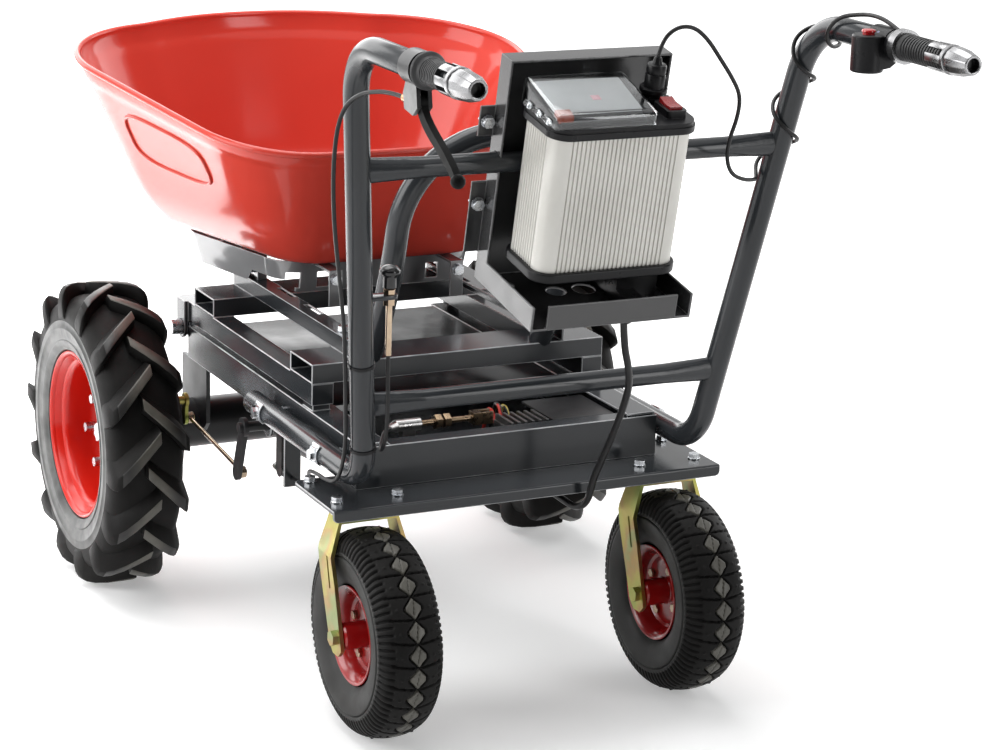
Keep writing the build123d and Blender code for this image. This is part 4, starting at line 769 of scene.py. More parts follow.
# Tub: pressed shell with a rolled rim; the rings give its inner face
tubSizes = {
    "floor": 480.4, "middle": 365, "turn": 45.6, "rear": 42, "front": 702, "rearHeight": 659,
    "rise": 0.12, "slant": 165, "wall": 2.4, "roll": 4.8, "lip": 2, "band": 22, "ledge": 2.2,
    "crease": 60,
    "floorOutline": {"rear": 176, "front": 564, "rearHalf": 150, "sideHalf": 204, "corner": 60,
                     "nose": 90},
    "turnOutline": {"rear": 138, "front": 621, "rearHalf": 190, "sideHalf": 242, "corner": 80,
                    "nose": 155},
    "rimOutline": {"rearHalf": 271, "sideHalf": 324, "corner": 128, "nose": 250},
    # points of half an outline, and shares that shape its corner and nose
    "steps": {"back": 6, "corner": 12, "flank": 12, "nose": 12, "tip": 8},
    "cornerPull": 0.55, "noseHalf": 0.55, "bow": 0.16, "noseIn": 0.27, "noseOn": 0.72, "tipHalf": 0.52,
    "tipIn": 0.24,
    # rings as shares of the way to the middle, to the turn and to the rim
    "floorShares": (0.75, 0.45, 0.2, 0.07), "turnShares": (0.12, 0.42, 0.80),
    "wallShares": (0.06, 0.22, 0.45, 0.68, 0.82),
    # ledge as (height over the band, share of the ledge), rolled rim in degrees
    "ledgeRows": ((-6, 0), (0, 0.3), (5, 1)), "rollTurns": range(215, -101, -35),
}
# Bare raised oval on each flank: middle along the flank and up the wall, half sizes
oval = {"along": 0.50, "up": 0.56, "long": 0.37, "high": 0.20, "bead": 2.7, "square": 0.55,
        "lift": 2.8, "steps": 72}


def arcThrough(start, middle, end, count):
    ax, ay = middle[0] - start[0], middle[1] - start[1]
    bx, by = end[0] - start[0], end[1] - start[1]
    cross = 2 * (ax * by - ay * bx)
    aa = ax * ax + ay * ay
    bb = bx * bx + by * by
    cx = (by * aa - ay * bb) / cross
    cy = (ax * bb - bx * aa) / cross
    radius = math.hypot(cx, cy)
    first = math.atan2(-cy, -cx)
    last = math.atan2(by - cy, bx - cx)
    via = math.atan2(ay - cy, ax - cx)
    sweep = (last - first) % (2 * math.pi)
    if (via - first) % (2 * math.pi) > sweep:
        sweep -= 2 * math.pi
    spots = []
    for index in range(count):
        angle = first + sweep * index / count
        spots.append((start[0] + cx + radius * math.cos(angle), start[1] + cy + radius * math.sin(angle)))
    return spots


def runAlong(start, end, count):
    wayX = end[0] - start[0]
    wayY = end[1] - start[1]
    return [(start[0] + wayX * index / count, start[1] + wayY * index / count) for index in range(count)]


# Curve that leaves one point and reaches another in given directions
def easedCorner(start, wayIn, end, wayOut, handleLength, count):
    start, end = Vector(start), Vector(end)
    first = start + Vector(wayIn) * handleLength
    second = end - Vector(wayOut) * handleLength
    spots = []
    for index in range(count):
        share = index / count
        rest = 1 - share
        spots.append(tuple(start * rest ** 3 + first * (3 * rest * rest * share) +
                           second * (3 * rest * share * share) + end * share ** 3))
    return spots


# Closed outline: straight back, rounded corners, flared sides, bowed nose
def tubOutline(rear, front, rearHalf, sideHalf, corner, nose):
    sideRear = rear + corner
    sideFront = front - nose
    noseHalf = sideHalf * tubSizes["noseHalf"]
    bow = front - nose * tubSizes["bow"]
    back = (rearHalf - corner, rear)
    flankRear = (rearHalf, sideRear)
    flankFront = (sideHalf, sideFront)
    noseMid = (sideHalf - (sideHalf - noseHalf) * tubSizes["noseIn"],
               sideFront + (bow - sideFront) * tubSizes["noseOn"])
    noseSide = (noseHalf, bow)
    tipMid = (noseHalf * tubSizes["tipHalf"], front - (front - bow) * tubSizes["tipIn"])
    flank = (Vector(flankFront) - Vector(flankRear)).normalized()
    steps = tubSizes["steps"]
    half = runAlong((0, rear), back, steps["back"])
    half += easedCorner(back, (1, 0), flankRear, flank, corner * tubSizes["cornerPull"], steps["corner"])
    half += runAlong(flankRear, flankFront, steps["flank"])
    half += arcThrough(flankFront, noseMid, noseSide, steps["nose"])
    half += arcThrough(noseSide, tipMid, (0, front), steps["tip"])
    other = [(-x, y) for x, y in half[1:]]
    return half + [(0, front)] + other[::-1]


def tubRings():
    tilt = math.atan(tubSizes["rise"])
    long = (tubSizes["front"] - tubSizes["rear"]) / math.cos(tilt)
    rim = []
    for x, along in tubOutline(0, long, **tubSizes["rimOutline"]):
        y = tubSizes["rear"] + along * math.cos(tilt)
        rim.append(Vector((x, y, tubSizes["rearHeight"] + along * math.sin(tilt))))
    low = tubSizes["floor"]
    floor = [Vector((x, y, low)) for x, y in tubOutline(**tubSizes["floorOutline"])]
    turn = [Vector((x, y, low + tubSizes["turn"])) for x, y in tubOutline(**tubSizes["turnOutline"])]
    return floor, turn, rim, Vector((0, -math.sin(tilt), math.cos(tilt)))


# Unit vectors that point out of a ring, in the plane of its normal
def ringOutward(ring, normal):
    count = len(ring)
    ways = []
    for index in range(count):
        along = ring[(index + 1) % count] - ring[index - 1]
        ways.append(along.cross(normal).normalized())
    return ways


def between(ringA, ringB, share):
    return [a.lerp(b, share) for a, b in zip(ringA, ringB)]


def squared(value):
    return math.copysign(abs(value) ** oval["square"], value)


# Bead along a bare oval on the flank between two rings
def ovalBead(turn, rim, side):
    line = []
    steps = tubSizes["steps"]
    first = steps["back"] + steps["corner"]
    for step in range(oval["steps"] + 1):
        angle = 2 * math.pi * step / oval["steps"]
        along = first + steps["flank"] * (oval["along"] + oval["long"] * squared(math.cos(angle)))
        index = int(along)
        share = along - index
        low = turn[index].lerp(turn[index + 1], share)
        high = rim[index].lerp(rim[index + 1], share)
        spot = low.lerp(high, oval["up"] + oval["high"] * squared(math.sin(angle)))
        out = (rim[index + 1] - rim[index]).cross(high - low).normalized()
        spot += out * math.copysign(oval["lift"], out.x)
        line.append(Vector((side * spot.x, spot.y, spot.z)))
    bead = sweptTube("oval", line, oval["bead"], sides=3)
    smooth(bead, tubSizes["crease"])
    return bead


def tubShell():
    floor, turn, rim, normal = tubRings()
    outward = ringOutward(rim, normal)
    middle = Vector((0, tubSizes["middle"], tubSizes["floor"]))
    rings = [between(floor, [middle] * len(floor), share) for share in tubSizes["floorShares"]]
    rings += [between(floor, turn, share) for share in tubSizes["turnShares"]]
    rings += [between(turn, rim, share) for share in tubSizes["wallShares"]]
    for lift, out in tubSizes["ledgeRows"]:
        share = 1 + (lift - tubSizes["band"]) / tubSizes["slant"]
        ring = between(turn, rim, share)
        rings.append([spot + way * (out * tubSizes["ledge"]) for spot, way in zip(ring, outward)])
    roll = tubSizes["roll"]
    for degrees in tubSizes["rollTurns"]:
        angle = math.radians(degrees)
        reach = tubSizes["lip"] + roll * math.cos(angle)
        lift = roll * math.sin(angle)
        rings.append([spot + way * reach + normal * lift for spot, way in zip(rim, outward)])
    count = len(rim)
    points = [middle * mm] + [spot * mm for ring in rings for spot in ring]
    faces = [(0, 1 + (index + 1) % count, 1 + index) for index in range(count)]
    for level in range(len(rings) - 1):
        faces += ringFaces(1 + level * count, count)
    piece = meshPiece("tubShell", points, faces)
    clean(piece)
    modify(piece, "SUBSURF", levels=2, render_levels=2)
    modify(piece, "SOLIDIFY", thickness=tubSizes["wall"] * mm, offset=-1)
    smooth(piece, tubSizes["crease"])
    whole = join("tubShell", [piece] + [ovalBead(turn, rim, side) for side in (-1, 1)])
    standIn(whole, "tubPaint", "tub_paint", "tub")


tubShell()
print("stage: tub")

# Floor sheet of the chassis under the tipper: lies on the front member, between the flanges of the rails
deck = {"half": 167.5, "rear": -30, "front": 392, "low": 347, "thick": 2, "round": 0.4}


def chassisDeck():
    corners = [(-1, "rear"), (1, "rear"), (1, "front"), (-1, "front")]
    outline = [(side * deck["half"], deck[end], deck["low"]) for side, end in corners]
    piece = slab("chassisDeck", outline, (0, 0, deck["thick"]), deck["round"])
    paint(piece, "deckPaint")
    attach(piece, bodyOf["front_member"])


chassisDeck()
print("stage: chassis deck")

# Drive tyres: carcass with chevron lugs; wheel-local X is the axle, outer face towards -X
driveTyre = {"radius": 211, "lugs": 14, "pitchShift": 0.5, "slope": 62, "slopeStart": -9,
             "slopeEnd": 52, "topHalf": 7.8, "steep": 9.5, "gentle": 25, "widen": 0.25 / 55,
             "round": 1.4, "crest": 207, "lugCrease": 40, "wall": 158}
driveCarcass = [(-41, 118), (-46.5, 119), (-49, 124), (-51.8, 130), (-51.8, 132), (-50.6, 133),
                (-52, 140), (-52.8, 147), (-53.8, 148.5), (-53.8, 150), (-52.6, 151.5), (-52.8, 160),
                (-52, 170), (-49.5, 178), (-45.5, 184), (-39, 188.5), (-30, 191.4), (-15, 193.4),
                (0, 194)]
lugTop = [(-10, 211), (6, 211), (22, 211), (36, 210), (45, 207.4), (50.5, 203), (54, 196), (55.6, 187),
          (55.8, 177), (55, 166)]
lugFoot = [(-10, 191), (6, 191), (22, 190.4), (36, 188), (43, 184.5), (47, 181), (50, 176.5),
           (51.5, 172), (52, 167), (52, 162)]


# One lug of either half of the tread, as rings of four corners, slanted backwards as it goes out
def lugMesh(side, angle):
    points = []
    run = driveTyre["slopeEnd"] - driveTyre["slopeStart"]
    for (topX, topR), (footX, footR) in zip(lugTop, lugFoot):
        shift = driveTyre["slope"] * (min(topX, driveTyre["slopeEnd"]) - driveTyre["slopeStart"]) / run
        widen = 1 + driveTyre["widen"] * max(topX, 0)
        corners = ((footX, footR, -driveTyre["gentle"]), (topX, topR, -driveTyre["topHalf"]),
                   (topX, topR, driveTyre["topHalf"]), (footX, footR, driveTyre["steep"]))
        for x, radius, offset in corners:
            turn = angle - (shift + offset * widen) / driveTyre["radius"]
            points.append(Vector((side * x, radius * math.sin(turn), radius * math.cos(turn))) * mm)
    last = len(points) - 4
    faces = [(0, 3, 2, 1), (last + 3, last, last + 1, last + 2)]
    for first in range(0, last, 4):
        faces += ringFaces(first, 4)
    piece = meshPiece("lug", points, faces)
    clean(piece)
    rounded(piece, driveTyre["round"], angle=driveTyre["lugCrease"])
    smooth(piece, driveTyre["lugCrease"])
    paint(piece, "tyre")
    paintWhere(piece, "lugTop", lambda spot: spot.yz.length > driveTyre["crest"])
    return piece


def driveTyreMesh(name):
    profile = driveCarcass + [(-along, radius) for along, radius in driveCarcass[-2::-1]]
    body = turned("carcass", profile, origin, axle, steps=120, angle=50)
    paint(body, "tyre")
    # Sidewall below a radius is painted paler: painted sheen
    paintWhere(body, "sidewallSheen", lambda spot: spot.yz.length < driveTyre["wall"])
    pieces = [body]
    pitch = 2 * math.pi / driveTyre["lugs"]
    for index in range(driveTyre["lugs"]):
        pieces.append(lugMesh(1, (index + driveTyre["pitchShift"]) * pitch))
        pieces.append(lugMesh(-1, index * pitch))
    return join(name, pieces)


def shiftMesh(piece, way):
    piece.data.transform(Matrix.Translation(way))


# Left wheel piece about the origin, copied or mirrored for the right side, and both put in place
def wheelPair(left, rightName, node, look, slot, mirror=False):
    right = place(rightName, left.data.copy())
    if mirror:
        right.data.transform(Matrix.Scale(-1, 4, axle))
        clean(right)
    for piece, side in ((left, "_left"), (right, "_right")):
        shiftMesh(piece, nodeMiddle(node + side))
        standIn(piece, look, slot, node + side)


# Drive rims: rolled lip, well and dished disc, as (along the axle, radius); the disc is far inside
driveRim = [(12, 30), (12, 58), (10.5, 62), (10.5, 70), (13, 76), (17, 84), (17, 88.5), (13, 91.8),
            (4, 93), (-10, 94), (-24, 95), (-28, 96.5), (-31, 100), (-33, 106), (-35, 108.5),
            (-38, 109.5), (-41, 110), (-43.5, 111.5), (-45.5, 113.5), (-46, 115.5), (-45, 117),
            (-43, 117), (-41.5, 115.5), (-41, 110.5), (-26, 98), (26, 98), (41, 110.5), (41.5, 116),
            (43, 117), (45, 117), (46, 115.5), (45.5, 113.5), (43, 111), (38, 109), (33, 106),
            (28, 96), (24, 94.5), (20, 91), (20, 86), (16, 76), (15, 70), (15, 30), (12, 30)]

wheelPair(driveTyreMesh("driveTyreLeft"), "driveTyreRight", "drive_tyre", None, "tyre")
leftRim = turned("driveRimLeft", driveRim, origin, axle, steps=120, angle=40)
wheelPair(leftRim, "driveRimRight", "drive_rim", "rimPaint", "rim_paint", mirror=True)
print("stage: drive wheels")

# Castor tyres: moulded tread cut into a fine grid
castorTyre = {"pitches": 28, "around": 756, "groove": 4.4, "edge": 0.8, "rolling": 128,
              "treadFrom": 92, "fine": 1.15, "coarse": 4, "softened": 6, "crown": 125,
              "diamondInset": 0.7, "wall": 104, "crease": 75}
castorSection = [(-31, 63), (-35, 64), (-37.5, 69), (-40, 78), (-41.8, 88), (-42.3, 96), (-41.6, 104),
                 (-39.8, 111), (-36.5, 117.5), (-31.5, 122.3), (-25, 125.6), (-17, 128.1), (-8, 129.6),
                 (0, 130)]
# Tread as reaches from the crown, half widths of cuts and shares of the groove's depth
tread = {"end": 62, "shoulder": 33, "diamond": 13.5, "blunt": 0.84, "zigzag": 0.55,
         "zigzagSlope": 0.72, "block": 0.9, "blockLean": 260, "blockFrom": 2, "slit": 0.15,
         "slitDepth": 0.45, "slitSlope": 0.2, "slitInset": 1.5, "pip": 1.2, "pipAt": 21,
         "pipHeight": 0.3, "rib": 1.2, "ribDepth": 0.8, "ribs": 3, "ribFrom": 27, "ribTo": 52,
         "ring": 0.5, "ringAt": 59.5, "ringDepth": 0.5, "fadeIn": 3, "fadeOut": 4}


def step01(value):
    value = min(max(value, 0), 1)
    return value * value * (3 - 2 * value)


# 1 in a groove of a half width about the zero of a distance, fading over the edge
def cut(distance, half):
    return 1 - step01((abs(distance) - half) / castorTyre["edge"])


def fold(value):
    return abs(value - math.floor(value + 0.5))


# Half width of the crown diamonds at a turn; they meet at their tips, and their side corners are cut off
def diamondHalf(turn):
    return tread["diamond"] * min(1 - 2 * fold(turn + 0.5), tread["blunt"])


# Groove share at a place: turn in pitches round the tyre, reach in millimetres from the crown. A zigzag
# groove leaves a chain of slit diamonds on the crown, then come blocks, and ribs on the shoulder.
def treadCut(turn, reach):
    side = abs(reach)
    if side > tread["end"]:
        return 0
    pitch = 2 * math.pi * castorTyre["rolling"] / castorTyre["pitches"]
    rib = tread["ribDepth"] * cut(fold(tread["ribs"] * turn + 0.5) * pitch / tread["ribs"], tread["rib"])
    if side >= tread["shoulder"]:
        ring = tread["ringDepth"] * cut(side - tread["ringAt"], tread["ring"])
        return max(ring, rib * (1 - step01((side - tread["ribTo"]) / tread["fadeOut"])))
    inside = diamondHalf(turn) - side
    share = cut(inside * tread["zigzagSlope"], tread["zigzag"])
    block = cut(fold(turn - side / tread["blockLean"]) * pitch, tread["block"])
    share = max(share, block * step01((side - tread["blockFrom"]) / tread["fadeIn"]))
    if inside > tread["slitInset"]:
        slit = (turn - math.floor(turn) - 0.5) * pitch * tread["slitSlope"] - reach
        share = max(share, tread["slitDepth"] * cut(slit, tread["slit"]))
    share = max(share, rib * step01((side - tread["ribFrom"]) / tread["fadeIn"]))
    pip = math.hypot(fold(turn + 0.5) * pitch, side - tread["pipAt"])
    return share - tread["pipHeight"] * cut(pip, tread["pip"])


# Section in short steps on the tread and longer ones below it
def resample(section):
    spots = [Vector(spot) for spot in section]
    result = [spots[0]]
    for start, end in zip(spots, spots[1:]):
        step = castorTyre["fine"] if end.y > castorTyre["treadFrom"] else castorTyre["coarse"]
        count = max(1, round((end - start).length / step))
        result += [start.lerp(end, index / count) for index in range(1, count + 1)]
    return result


def softened(line):
    inner = [(before + spot * 2 + after) / 4 for before, spot, after in zip(line, line[1:], line[2:])]
    return [line[0]] + inner + [line[-1]]


def castorTyreMesh(name):
    half = resample(castorSection)
    line = half + [Vector((-spot.x, spot.y)) for spot in half[-2::-1]]
    for count in range(castorTyre["softened"]):
        line = softened(line)
    reaches = [0]
    for start, end in zip(line, line[1:]):
        reaches.append(reaches[-1] + (end - start).length)
    crown = reaches[-1] / 2
    around = castorTyre["around"]
    points = []
    for index, spot in enumerate(line):
        before = line[max(index - 1, 0)]
        after = line[min(index + 1, len(line) - 1)]
        way = (after - before).normalized()
        inward = Vector((way.y, -way.x))
        reach = reaches[index] - crown
        for step in range(around):
            share = treadCut(step * castorTyre["pitches"] / around, reach)
            deep = spot + inward * (castorTyre["groove"] * share)
            angle = 2 * math.pi * step / around
            points.append((deep.x * mm, deep.y * math.sin(angle) * mm, deep.y * math.cos(angle) * mm))
    faces = []
    for index in range(len(line) - 1):
        faces += ringFaces(index * around, around)
    piece = meshPiece(name, points, faces)
    clean(piece, weld / 100)
    smooth(piece, castorTyre["crease"])
    return piece


def castorTyres():
    turns = castorTyre["pitches"] / (2 * math.pi)

    def onDiamond(spot):
        half = diamondHalf(math.atan2(spot.y, spot.z) * turns)
        return spot.yz.length > castorTyre["crown"] and abs(spot.x) + castorTyre["diamondInset"] < half

    left = castorTyreMesh("castorTyreLeft")
    paint(left, "tyre")
    # Crown diamonds are painted paler: a painted highlight
    paintWhere(left, "diamond", onDiamond)
    paintWhere(left, "castorWall", lambda spot: spot.yz.length < castorTyre["wall"])
    wheelPair(left, "castorTyreRight", "castor_tyre", None, "tyre")


# Castor rims: lip, deep well and disc, with four gold bolts between two half rims
castorRim = [(-46, 7), (-46, 15), (-44, 17), (-14, 17), (-13, 18), (-13, 38), (-11, 44), (-13, 48),
             (-24, 50), (-29, 53), (-32, 57), (-34, 60), (-34, 61.5), (-33, 62), (-31, 61.5),
             (-29, 57), (-20, 52.5), (20, 52.5), (29, 57), (31, 61.5), (33, 62), (34, 61.5), (34, 60),
             (32, 57), (29, 53), (24, 50), (-6, 48), (-8, 44), (-10, 38), (-10, 18), (-9, 17),
             (44, 17), (46, 15), (46, 7)]
rimBolts = {"count": 4, "circle": 33, "turn": 25, "along": -18,
            "profile": [(0, 0), (0, 5.4), (1, 6.4), (6, 6.4), (6, 0)]}


def castorRims():
    for node in ("castor_rim_left", "castor_rim_right"):
        body = turned(node + "Body", castorRim, origin, axle, steps=96, angle=40)
        # Castor rim body in the darker red: painted shade
        paint(body, "castorRedShaded")
        pieces = [body]
        for index in range(rimBolts["count"]):
            angle = math.radians(rimBolts["turn"] + 360 * index / rimBolts["count"])
            y = rimBolts["circle"] * math.cos(angle)
            spot = (rimBolts["along"], y, rimBolts["circle"] * math.sin(angle))
            head = turned("rimBolt", rimBolts["profile"], spot, axle, steps=6, angle=20)
            paint(head, "champagne")
            pieces.append(head)
        whole = join(node + "Wheel", pieces)
        shiftMesh(whole, nodeMiddle(node))
        standIn(whole, None, "rim_paint", node)


# Forks: straps of an even width, seen from the side as (along, height) about the swivel axis, and a stem
fork = {"x": 209, "y": -195, "reach": 70, "round": 1.4, "stem": 24, "low": 266, "high": 282.5}
forkSide = [(-16, 290), (-16, 262), (-13, 232), (-24, 187), (-47, 135), (-54, 112), (-62, 100),
            (-86, 100), (-93, 112), (-90, 128), (-72, 180), (-54, 224), (-50, 262), (-50, 290)]


def castorForks():
    for side, node in ((-1, "castor_fork_left"), (1, "castor_fork_right")):
        x = side * fork["x"]
        outline = [(x - fork["reach"], fork["y"] + along, height) for along, height in forkSide]
        band = slab("band", outline, (2 * fork["reach"], 0, 0), 0)
        strap = shaped(node, "goldZinc", fork["round"], within=band)
        stem = roundBar("stem", (x, fork["y"], fork["low"]), (x, fork["y"], fork["high"]), fork["stem"])
        paint(stem, "goldZinc")
        standIn(join(node + "Strap", [strap, stem]), None, "gold_zinc", node)


castorTyres()
castorRims()
castorForks()
print("stage: castors")

# Battery, in the tilted frame of its bracket: x, u up the plate, n out of it
battery = {"half": 90, "front": 20, "rear": 110, "low": -95, "high": 69, "corner": 20,
           "cornerSteps": 8, "pitch": 5.7, "groove": 1.5, "crossZ": 724}


def batteryPoint(x, u, n):
    rake = math.atan(handle["rake"])
    root = upright(1, battery["crossZ"])
    return Vector((x, root.y - u * math.sin(rake) - n * math.cos(rake),
                   battery["crossZ"] + u * math.cos(rake) - n * math.sin(rake)))


# Depth across one rib of the case, over its pitch
ribProfile = ((0, 0), (0.42, 0), (0.54, 1), (0.84, 1), (0.96, 0))


# Rounded rectangle with fine ribs along its straight sides, as (x, n) about the middle
def caseOutline():
    corner = battery["corner"]
    halves = ((battery["rear"] - battery["front"]) / 2, battery["half"])
    spots = []
    for side in range(4):
        turn = math.pi / 2 * (side + 1)
        outward = Vector((math.cos(turn), math.sin(turn)))
        along = Vector((-outward.y, outward.x))
        reach = halves[side % 2]
        run = halves[(side + 1) % 2] - corner
        count = round(2 * run / battery["pitch"])
        for index in range(count):
            for share, deep in ribProfile:
                shift = -run + 2 * run * (index + share) / count
                spots.append(outward * (reach - deep * battery["groove"]) + along * shift)
        for index in range(battery["cornerSteps"] + 1):
            angle = math.pi / 2 * index / battery["cornerSteps"]
            out = reach - corner + corner * math.cos(angle)
            spots.append(outward * out + along * (run + corner * math.sin(angle)))
    return spots


def batteryCase():
    middle = (battery["front"] + battery["rear"]) / 2
    outline = [batteryPoint(spot.x, battery["low"], middle + spot.y) for spot in caseOutline()]
    way = batteryPoint(0, battery["high"], 0) - batteryPoint(0, battery["low"], 0)
    piece = slab("batteryCase", outline, way, 0)
    standIn(piece, "caseAlloy", "case_alloy", "battery_case")


# Clear lid: wedge with large rounds, open below, and three knuckles on its left edge
lid = {"left": -93, "right": 38, "front": 16, "rear": 111, "low": 82.3, "frontTop": 114, "rearTop": 98,
       "round": 7, "wall": 1.8, "knuckles": (40, 65, 90), "knuckleX": -94, "knuckleUp": 86.3,
       "knuckleHalf": 6, "knuckleRadius": 4}


def batteryLid():
    corners = [(lid["left"], lid["front"]), (lid["right"], lid["front"]), (lid["right"], lid["rear"]),
               (lid["left"], lid["rear"])]
    tops = (lid["frontTop"], lid["frontTop"], lid["rearTop"], lid["rearTop"])
    points = [batteryPoint(x, lid["low"], n) * mm for x, n in corners]
    points += [batteryPoint(x, top, n) * mm for (x, n), top in zip(corners, tops)]
    shell = meshPiece("lid", points, [(4, 5, 6, 7)] + ringFaces(0, 4))
    clean(shell)
    rounded(shell, lid["round"], segments=5)
    modify(shell, "SOLIDIFY", thickness=lid["wall"] * mm, offset=-1)
    smooth(shell)
    pieces = [shell]
    for n in lid["knuckles"]:
        start = batteryPoint(lid["knuckleX"], lid["knuckleUp"], n - lid["knuckleHalf"])
        end = batteryPoint(lid["knuckleX"], lid["knuckleUp"], n + lid["knuckleHalf"])
        pieces.append(roundBar("knuckle", start, end, lid["knuckleRadius"], steps=24))
    standIn(join("batteryLid", pieces), "clear", "clear", "battery_lid")


# Plates under the lid, lifted from the sloping top of the meter
meterSlope = {"top": 105, "fall": 16 / 78, "from": 26, "round": 0.3}
meterPlates = {
    "meterBody": {"left": -84, "right": 27, "front": 24, "rear": 88, "lift": -7, "thick": 7,
                  "look": "plastic"},
    "meterPanel": {"left": -84, "right": 27, "front": 24, "rear": 88, "lift": 0.1, "thick": 0.8,
                   "look": "meter"},
    "fuse": {"left": -86, "right": -68, "front": 90, "rear": 103, "lift": -2, "thick": 8,
             "look": "amber"},
    "display": {"left": -26, "right": -15, "front": 58, "rear": 67, "lift": 0.4, "thick": 0.9,
                "look": "display"},
}


def meterPlate(name, plate):
    outline = []
    for side, end in (("left", "front"), ("right", "front"), ("right", "rear"), ("left", "rear")):
        n = plate[end]
        top = meterSlope["top"] - meterSlope["fall"] * (n - meterSlope["from"])
        outline.append(batteryPoint(plate[side], top + plate["lift"], n))
    way = batteryPoint(0, plate["thick"], 0) - batteryPoint(0, 0, 0)
    piece = slab(name, outline, way, meterSlope["round"])
    paint(piece, plate["look"])
    return piece


def batteryTop():
    pieces = [shaped("battery_top_cap", "plastic", 1.2)]
    pieces += [meterPlate(name, plate) for name, plate in meterPlates.items()]
    standIn(join("batteryTop", pieces), None, "black_plastic", "battery_top_cap")


# Battery plug: flange, body, gland and cord relief turned about its pin, with a clip
plug = {"x": 68, "foot": 88, "n": 38, "clip": ((11, 12), (16, 12), (16, 15), (14, 22), (11, 22)),
        "clipHalf": 5, "clipRound": 0.6}
plugProfile = [(0, 0), (0, 13), (5, 13), (5, 15.8), (6, 16.5), (10, 16.5), (11, 15.8), (11, 12.4),
               (13, 12), (26, 12), (27, 11.4), (27, 10.6), (28, 10.6), (29, 11.6), (37, 11.6),
               (38.5, 10.6), (39, 7), (41, 5.6), (45, 4.8), (47, 4.2), (47, 0)]


def batteryPlug():
    centre = batteryPoint(plug["x"], plug["foot"], plug["n"])
    way = batteryPoint(plug["x"], plug["foot"] + 1, plug["n"]) - centre
    pieces = [turned("plugBody", plugProfile, centre, way, steps=40)]
    outline = [batteryPoint(plug["x"] + reach, plug["foot"] + lift, plug["n"] - plug["clipHalf"])
               for reach, lift in plug["clip"]]
    across = batteryPoint(0, 0, 2 * plug["clipHalf"]) - batteryPoint(0, 0, 0)
    pieces.append(slab("clip", outline, across, plug["clipRound"]))
    standIn(join("batteryPlug", pieces), "plastic", "black_plastic", "battery_plug")


batteryCase()
batteryLid()
batteryTop()
batteryPlug()
print("stage: battery")

# Grips, turned about the bars; lengths run backwards from a start
grip = {"x": upright(1, handle["gripZ"]).x, "leftStart": -566, "leftLength": 59, "leftFrom": 18,
        "leftRibs": 10, "rightStart": -580, "rightLength": 83, "rightFrom": 6, "rightRibs": 15,
        "radius": 15.5, "valley": 14.3, "collar": 16.1, "collarLength": 4, "bore": 11.2, "steps": 56}
# One rib of a grip: share of its pitch, and which radius it has there
gripRib = ((0, "radius"), (0.52, "radius"), (0.62, "valley"), (0.9, "valley"))
flangeProfile = [(0, 11.2), (0, 17), (1, 17.6), (6, 17.6), (7, 19.6), (8.5, 20.8), (11, 20.8),
                 (12.5, 19.8), (14, 17.4), (16.5, 15.7)]


def gripRibs(start, end, count):
    step = (end - start) / count
    profile = []
    for index in range(count):
        profile += [(start + step * (index + share), grip[size]) for share, size in gripRib]
    return profile


def gripSleeve(name, side, start, profile, length, node):
    profile = profile + [(length, grip["radius"]), (length, grip["bore"])]
    piece = turned(name, profile, (side * grip["x"], start, handle["gripZ"]), backwards, grip["steps"])
    standIn(piece, "gripRubber", "black_rubber", node)


def gripSleeves():
    left = flangeProfile + gripRibs(grip["leftFrom"], grip["leftLength"] - 1, grip["leftRibs"])
    gripSleeve("leftGrip", -1, grip["leftStart"], left, grip["leftLength"], "left_grip")
    right = [(0, grip["bore"]), (0, grip["collar"]), (grip["collarLength"], grip["collar"])]
    right += gripRibs(grip["rightFrom"], grip["rightLength"] - 1, grip["rightRibs"])
    gripSleeve("throttleGrip", 1, grip["rightStart"], right, grip["rightLength"], "throttle_grip")


# Bright end pieces: six fingers over the sleeve, a ring, and a nose with a dark hole
gripEnds = {
    "leftGripEnd": {"side": -1, "start": -625, "end": -696, "fingers": 0, "ring": 24,
                    "node": "left_grip_end"},
    "throttleGripEnd": {"side": 1, "start": -663.5, "end": -709, "fingers": -26, "ring": 2,
                        "node": "throttle_grip_end"},
}
finger = {"count": 6, "radius": 16.1, "half": 17, "steps": 3, "overlap": 2, "wall": 1.6, "round": 0.5,
          "crease": 40}
gripNose = {"round": 0.7, "holeDepth": 14, "holeRadius": 7.7}


def fingerPiece(index, centre, start, end):
    points = []
    steps = finger["steps"]
    for along in (start, end):
        for step in range(steps + 1):
            degrees = 360 * index / finger["count"] + finger["half"] * (2 * step / steps - 1)
            swing = Vector((math.cos(math.radians(degrees)), 0, math.sin(math.radians(degrees))))
            points.append((Vector(centre) + swing * finger["radius"] - Vector((0, along, 0))) * mm)
    return curvedPlate("finger", points, steps, finger)


# Strip of quads between two rows of points, with a wall and rounded edges
def curvedPlate(name, points, steps, sizes):
    faces = [(step, step + 1, step + steps + 2, step + steps + 1) for step in range(steps)]
    piece = meshPiece(name, points, faces)
    clean(piece)
    modify(piece, "SOLIDIFY", thickness=sizes["wall"] * mm, offset=0)
    rounded(piece, sizes["round"])
    smooth(piece, sizes["crease"])
    return piece


